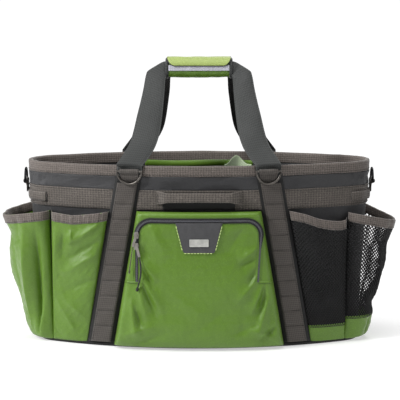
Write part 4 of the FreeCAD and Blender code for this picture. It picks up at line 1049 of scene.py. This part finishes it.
def build_tabs():
    """A tab on every ring: the long sides' rings hang down from them, the ends' stand up in them."""
    for group, names in (("front", ("front_ring_left", "front_ring_right")),
                         ("rear", ("rear_ring_left", "rear_ring_right")), ("end", ("left_end_ring", "right_end_ring"))):
        made, seams = [], []
        for ring, hand in zip(names, (-1, 1)):
            low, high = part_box(ring)
            middle = (low + high) / 2
            if group == "end":
                bar_at = np.array([middle.x, 0, low.z + 0.002])
                away, along = np.array([hand, 0, 0]), np.array([0, hand, 0])
            else:
                facing = -1 if group == "front" else 1
                bar_at = np.array([middle.x, middle.y, high.z - 0.002])
                tilt = math.asin(abs(middle.x) / RING_R)
                away = np.array([hand * math.sin(tilt), facing * math.cos(tilt), 0])
                along = np.array([away[1], -away[0], 0]) * facing
            s, up = np.linspace(-0.018, 0.018, 25)[:, None], np.array([0, 0, 1])
            made.append(swept(f"{ring}_tab", TAB, lambda out, rise: bar_at + along * s
                              + away * (out + 0.0004 * np.sin(s * 300) * (out > 0))
                              + up * (rise + 0.0003 * np.sin(s * 200))))
            line = bar_at + along * np.linspace(-0.016, 0.016, 60)[:, None] - away * 0.002 - up * 0.0165
            seams += dashes(line, 0.0035, 0.0015)
        finish(join(f"{group}_ring_tabs_webbing", made), "strap", "taupe_webbing", f"{group}_ring_tabs")
        sew(f"{group}_ring_tabs_stitches", seams, "dark_thread", "taupe_webbing")


def build_grabs():
    s = np.linspace(-1, 1, 121)
    rise = np.clip((1 - np.abs(s)) / 0.22, 0, 1)
    lift = 0.003 + 0.012 * (3 * rise ** 2 - 2 * rise ** 3)
    tall = np.interp(np.abs(s), [0, 0.74, 0.84, 1.0], [0.0088, 0.009, 0.0112, 0.0132])
    middle = np.interp(np.abs(s), [0, 0.8, 1.0], [0.2932, 0.2925, 0.2915])
    fat = np.interp(np.abs(s), [0, 0.7, 0.9, 1.0], [0.0026, 0.0024, 0.0013, 0.001])
    turn = np.linspace(0, 2 * math.pi, 20, endpoint=False)
    section = [(math.copysign(abs(a) ** 0.5, a), math.copysign(abs(b) ** 0.7, b))
               for a, b in zip(np.cos(turn), np.sin(turn))]
    grab = swept("front_grab", section, lambda a, b: side(0.08 * s, middle + tall * a, lift + fat * (1 + b)))
    finish(grab, "belt", "taupe_webbing", "front_grab_handle")
    # a black pad on the belt behind the handle: painted shade for the dark gap under it
    across = np.linspace(-0.068, 0.068, 60)
    pad = swept("front_grab_painted_shade_pad", mm((2.7, 267.6), (3.6, 267.8), (3.8, 273), (3.8, 280), (3.6, 284.8), (2.7, 285)),
                lambda out, z: side(across, z + 0.0003 * np.sin(across * 60), out))
    finish(pad, "black", "black_webbing")
    seams = []
    for hand in (-1, 1):
        for level in (0.283, 0.3):
            seams += dashes(side(hand * np.linspace(0.0685, 0.0785, 30), level, 0.0062), 0.003, 0.0012)
        for edge in (0.0685, 0.0785):
            seams += dashes(side(hand * edge, np.linspace(0.283, 0.3, 40), 0.0062), 0.003, 0.0012)
    sew("front_grab_stitches", seams, "dark_thread", "taupe_webbing", 0.0004)

    swell = 0.0016 * np.sin(np.linspace(0, 3.5 * math.pi, 80)) ** 2
    section = mm((2.8, 275.2), (5, 275.6), (5.6, 280), (5.4, 284.5), (5.7, 289), (5.1, 293.4), (2.8, 293.8),
                 (2.6, 289), (2.6, 280))
    both = [swept(f"{word}_grab", section, lambda out, z: oval(start + np.linspace(0.004, 0.996, 80), z,
                                                               out + swell * (out > 0.004)))
            for word, start in (("right", 1.0), ("left", 3.0))]
    finish(join("end_grabs", both), "belt", "taupe_webbing", "end_grab_handles")


# ---------------------------------------------------------------- divider, hardware and hidden layers
def closer(low, high, count):
    """Even places from low to high, closer at both ends."""
    return np.concatenate([[low, low + 0.001], np.linspace(low + 0.003, high - 0.003, count), [high - 0.001, high]])


def build_divider():
    low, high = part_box("inner_divider")
    x, z = closer(low.x, high.x, 72)[:, None], closer(low.z, high.z, 100)[None, :]
    quilt = np.abs(np.sin((x - low.x) / 0.035 * math.pi)) ** 0.5
    edge = (np.minimum(rounded(x - low.x, 0.004), rounded(high.x - x, 0.004))
            * rounded(z - low.z, 0.004) * rounded(high.z - z, 0.004))
    plump = np.minimum(0.0022 + 0.0019 * quilt * edge + 0.0002 * ripple(x, z, 0.03, 97), 0.004)
    middle = (low.y + high.y) / 2
    panel = sheet("divider_panel", *(np.stack(np.broadcast_arrays(x, middle + way * plump, z), 2) for way in (1, -1)))
    finish(panel, "green", "green_fabric", "inner_divider", body="inner_divider")
    low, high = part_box("inner_divider_binding")
    x = np.linspace(low.x, high.x, 80)
    top = high.z - 0.001 + 0.0009 * np.sin(x * 40)
    section = mm((-5, -11), (-5.3, -4), (-4.6, -0.8), (-2, 0.8), (2, 0.8), (4.6, -0.8), (5.3, -4), (5, -11),
                 (4.4, -11), (4.4, -3), (-4.4, -3), (-4.4, -11))
    edging = swept("divider_binding", section, lambda a, b: np.stack([x, np.full(80, middle + a), top + b], 1))
    finish(edging, "green", "green_fabric", "inner_divider_binding", body="inner_divider")
    # the curled edge of a thin pocket that stands up beside the divider's top
    s, w = np.linspace(0, 1, 50)[:, None], np.linspace(0, 1, 16)[None, :]
    x = 0.05 + 0.052 * s + 0 * w
    y = -0.002 + 0.009 * np.sin(math.pi * s) - 0.006 * w * np.sin(2 * math.pi * s + 1)
    z = 0.31 + (0.03 + 0.016 * np.sin(math.pi * np.clip(s * 1.15, 0, 1)) ** 2) * w
    skins = [np.stack([x, y + k, z], 2) for k in (0.0009, 0.0)]
    finish(sheet("divider_pocket_edge", *skins), "film", "green_fabric", body="inner_divider")


def dress_cad_parts():
    """Materials for the CAD pieces whose own shape is right."""
    looks = {"badge": ["badge_plate"], "zip_metal": ["slider_upper", "slider_lower", "puller_upper", "puller_lower"],
             "black_metal": ["left_end_ring", "right_end_ring"], "foam": ["base_board", "wall_stiffener"],
             "plastic": ["rim_hoop"],
             "dark_metal": ["front_ring_left", "rear_ring_left", "front_ring_right", "rear_ring_right"]}
    for look, nodes in looks.items():
        for node in nodes:
            NODES[node].data.materials.clear()
            NODES[node].data.materials.append(MAT[look])


# ---------------------------------------------------------------- floor, light and camera
LAMPS = (("key", (-2.1, -1.5, 1.9), 0.6, 80), ("top", (0.1, -0.6, 2.6), 1.4, 42), ("back", (0.8, 2.4, 2.2), 1.6, 30),
         ("left", (-2.6, 0.1, 0.9), 1.0, 26), ("right", (2.5, -1.5, 0.8), 1.0, 14))      # place, size, watts


AMBIENT, BACKDROP = 0.12, 1.05        # how bright the world is to the bag and to the camera
CAMERA_AT, CAMERA_DOWN, LENS = (0.0019, -3.6, 0.7285), 7.27, 167.4      # metres, degrees, mm


def build_studio():
    bpy.ops.mesh.primitive_plane_add(size=3.2, location=(0, 0, -0.0004))
    floor = bpy.context.active_object
    floor.name = "floor"
    s = Shader("studio_floor", "solid")
    s.paint(s.blend(s.noise(3), srgb(196, 196, 196), srgb(200, 200, 200)), 0.6)
    s.surface.inputs["Emission Color"].default_value = (1, 1, 1, 1)
    s.surface.inputs["Emission Strength"].default_value = 0.5
    floor.data.materials.append(s.material)

    world = bpy.data.worlds.new("studio")
    bpy.context.scene.world = world
    world.use_nodes = True
    tree = world.node_tree
    seen, glow = tree.nodes.new("ShaderNodeLightPath"), tree.nodes.new("ShaderNodeMapRange")
    tree.links.new(seen.outputs["Is Camera Ray"], glow.inputs["Value"])
    glow.inputs["To Min"].default_value, glow.inputs["To Max"].default_value = AMBIENT, BACKDROP
    tree.nodes["Background"].inputs["Color"].default_value = (1.0, 1.0, 1.0, 1)
    tree.links.new(glow.outputs[0], tree.nodes["Background"].inputs["Strength"])

    for name, place, size, power in LAMPS:
        data = bpy.data.lights.new(name, "AREA")
        data.size, data.energy = size, power
        lamp = link(name, data)
        lamp.location = place
        lamp.rotation_euler = (Vector((0, 0, 0.25)) - Vector(place)).to_track_quat("-Z", "Y").to_euler()

    view = bpy.data.cameras.new("camera")
    view.lens, view.sensor_width, view.clip_end = LENS, 36.0, 50.0
    camera = link("camera", view)
    camera.location = CAMERA_AT
    camera.rotation_euler = (math.radians(90 - CAMERA_DOWN), 0, 0)
    bpy.context.scene.camera = camera
    bpy.context.scene.view_settings.view_transform = "Standard"


for build in (build_shell, build_straps, build_pockets, build_zip_pocket, build_cords, build_handles, build_tabs,
              build_grabs, build_divider, dress_cad_parts, build_studio):
    build()
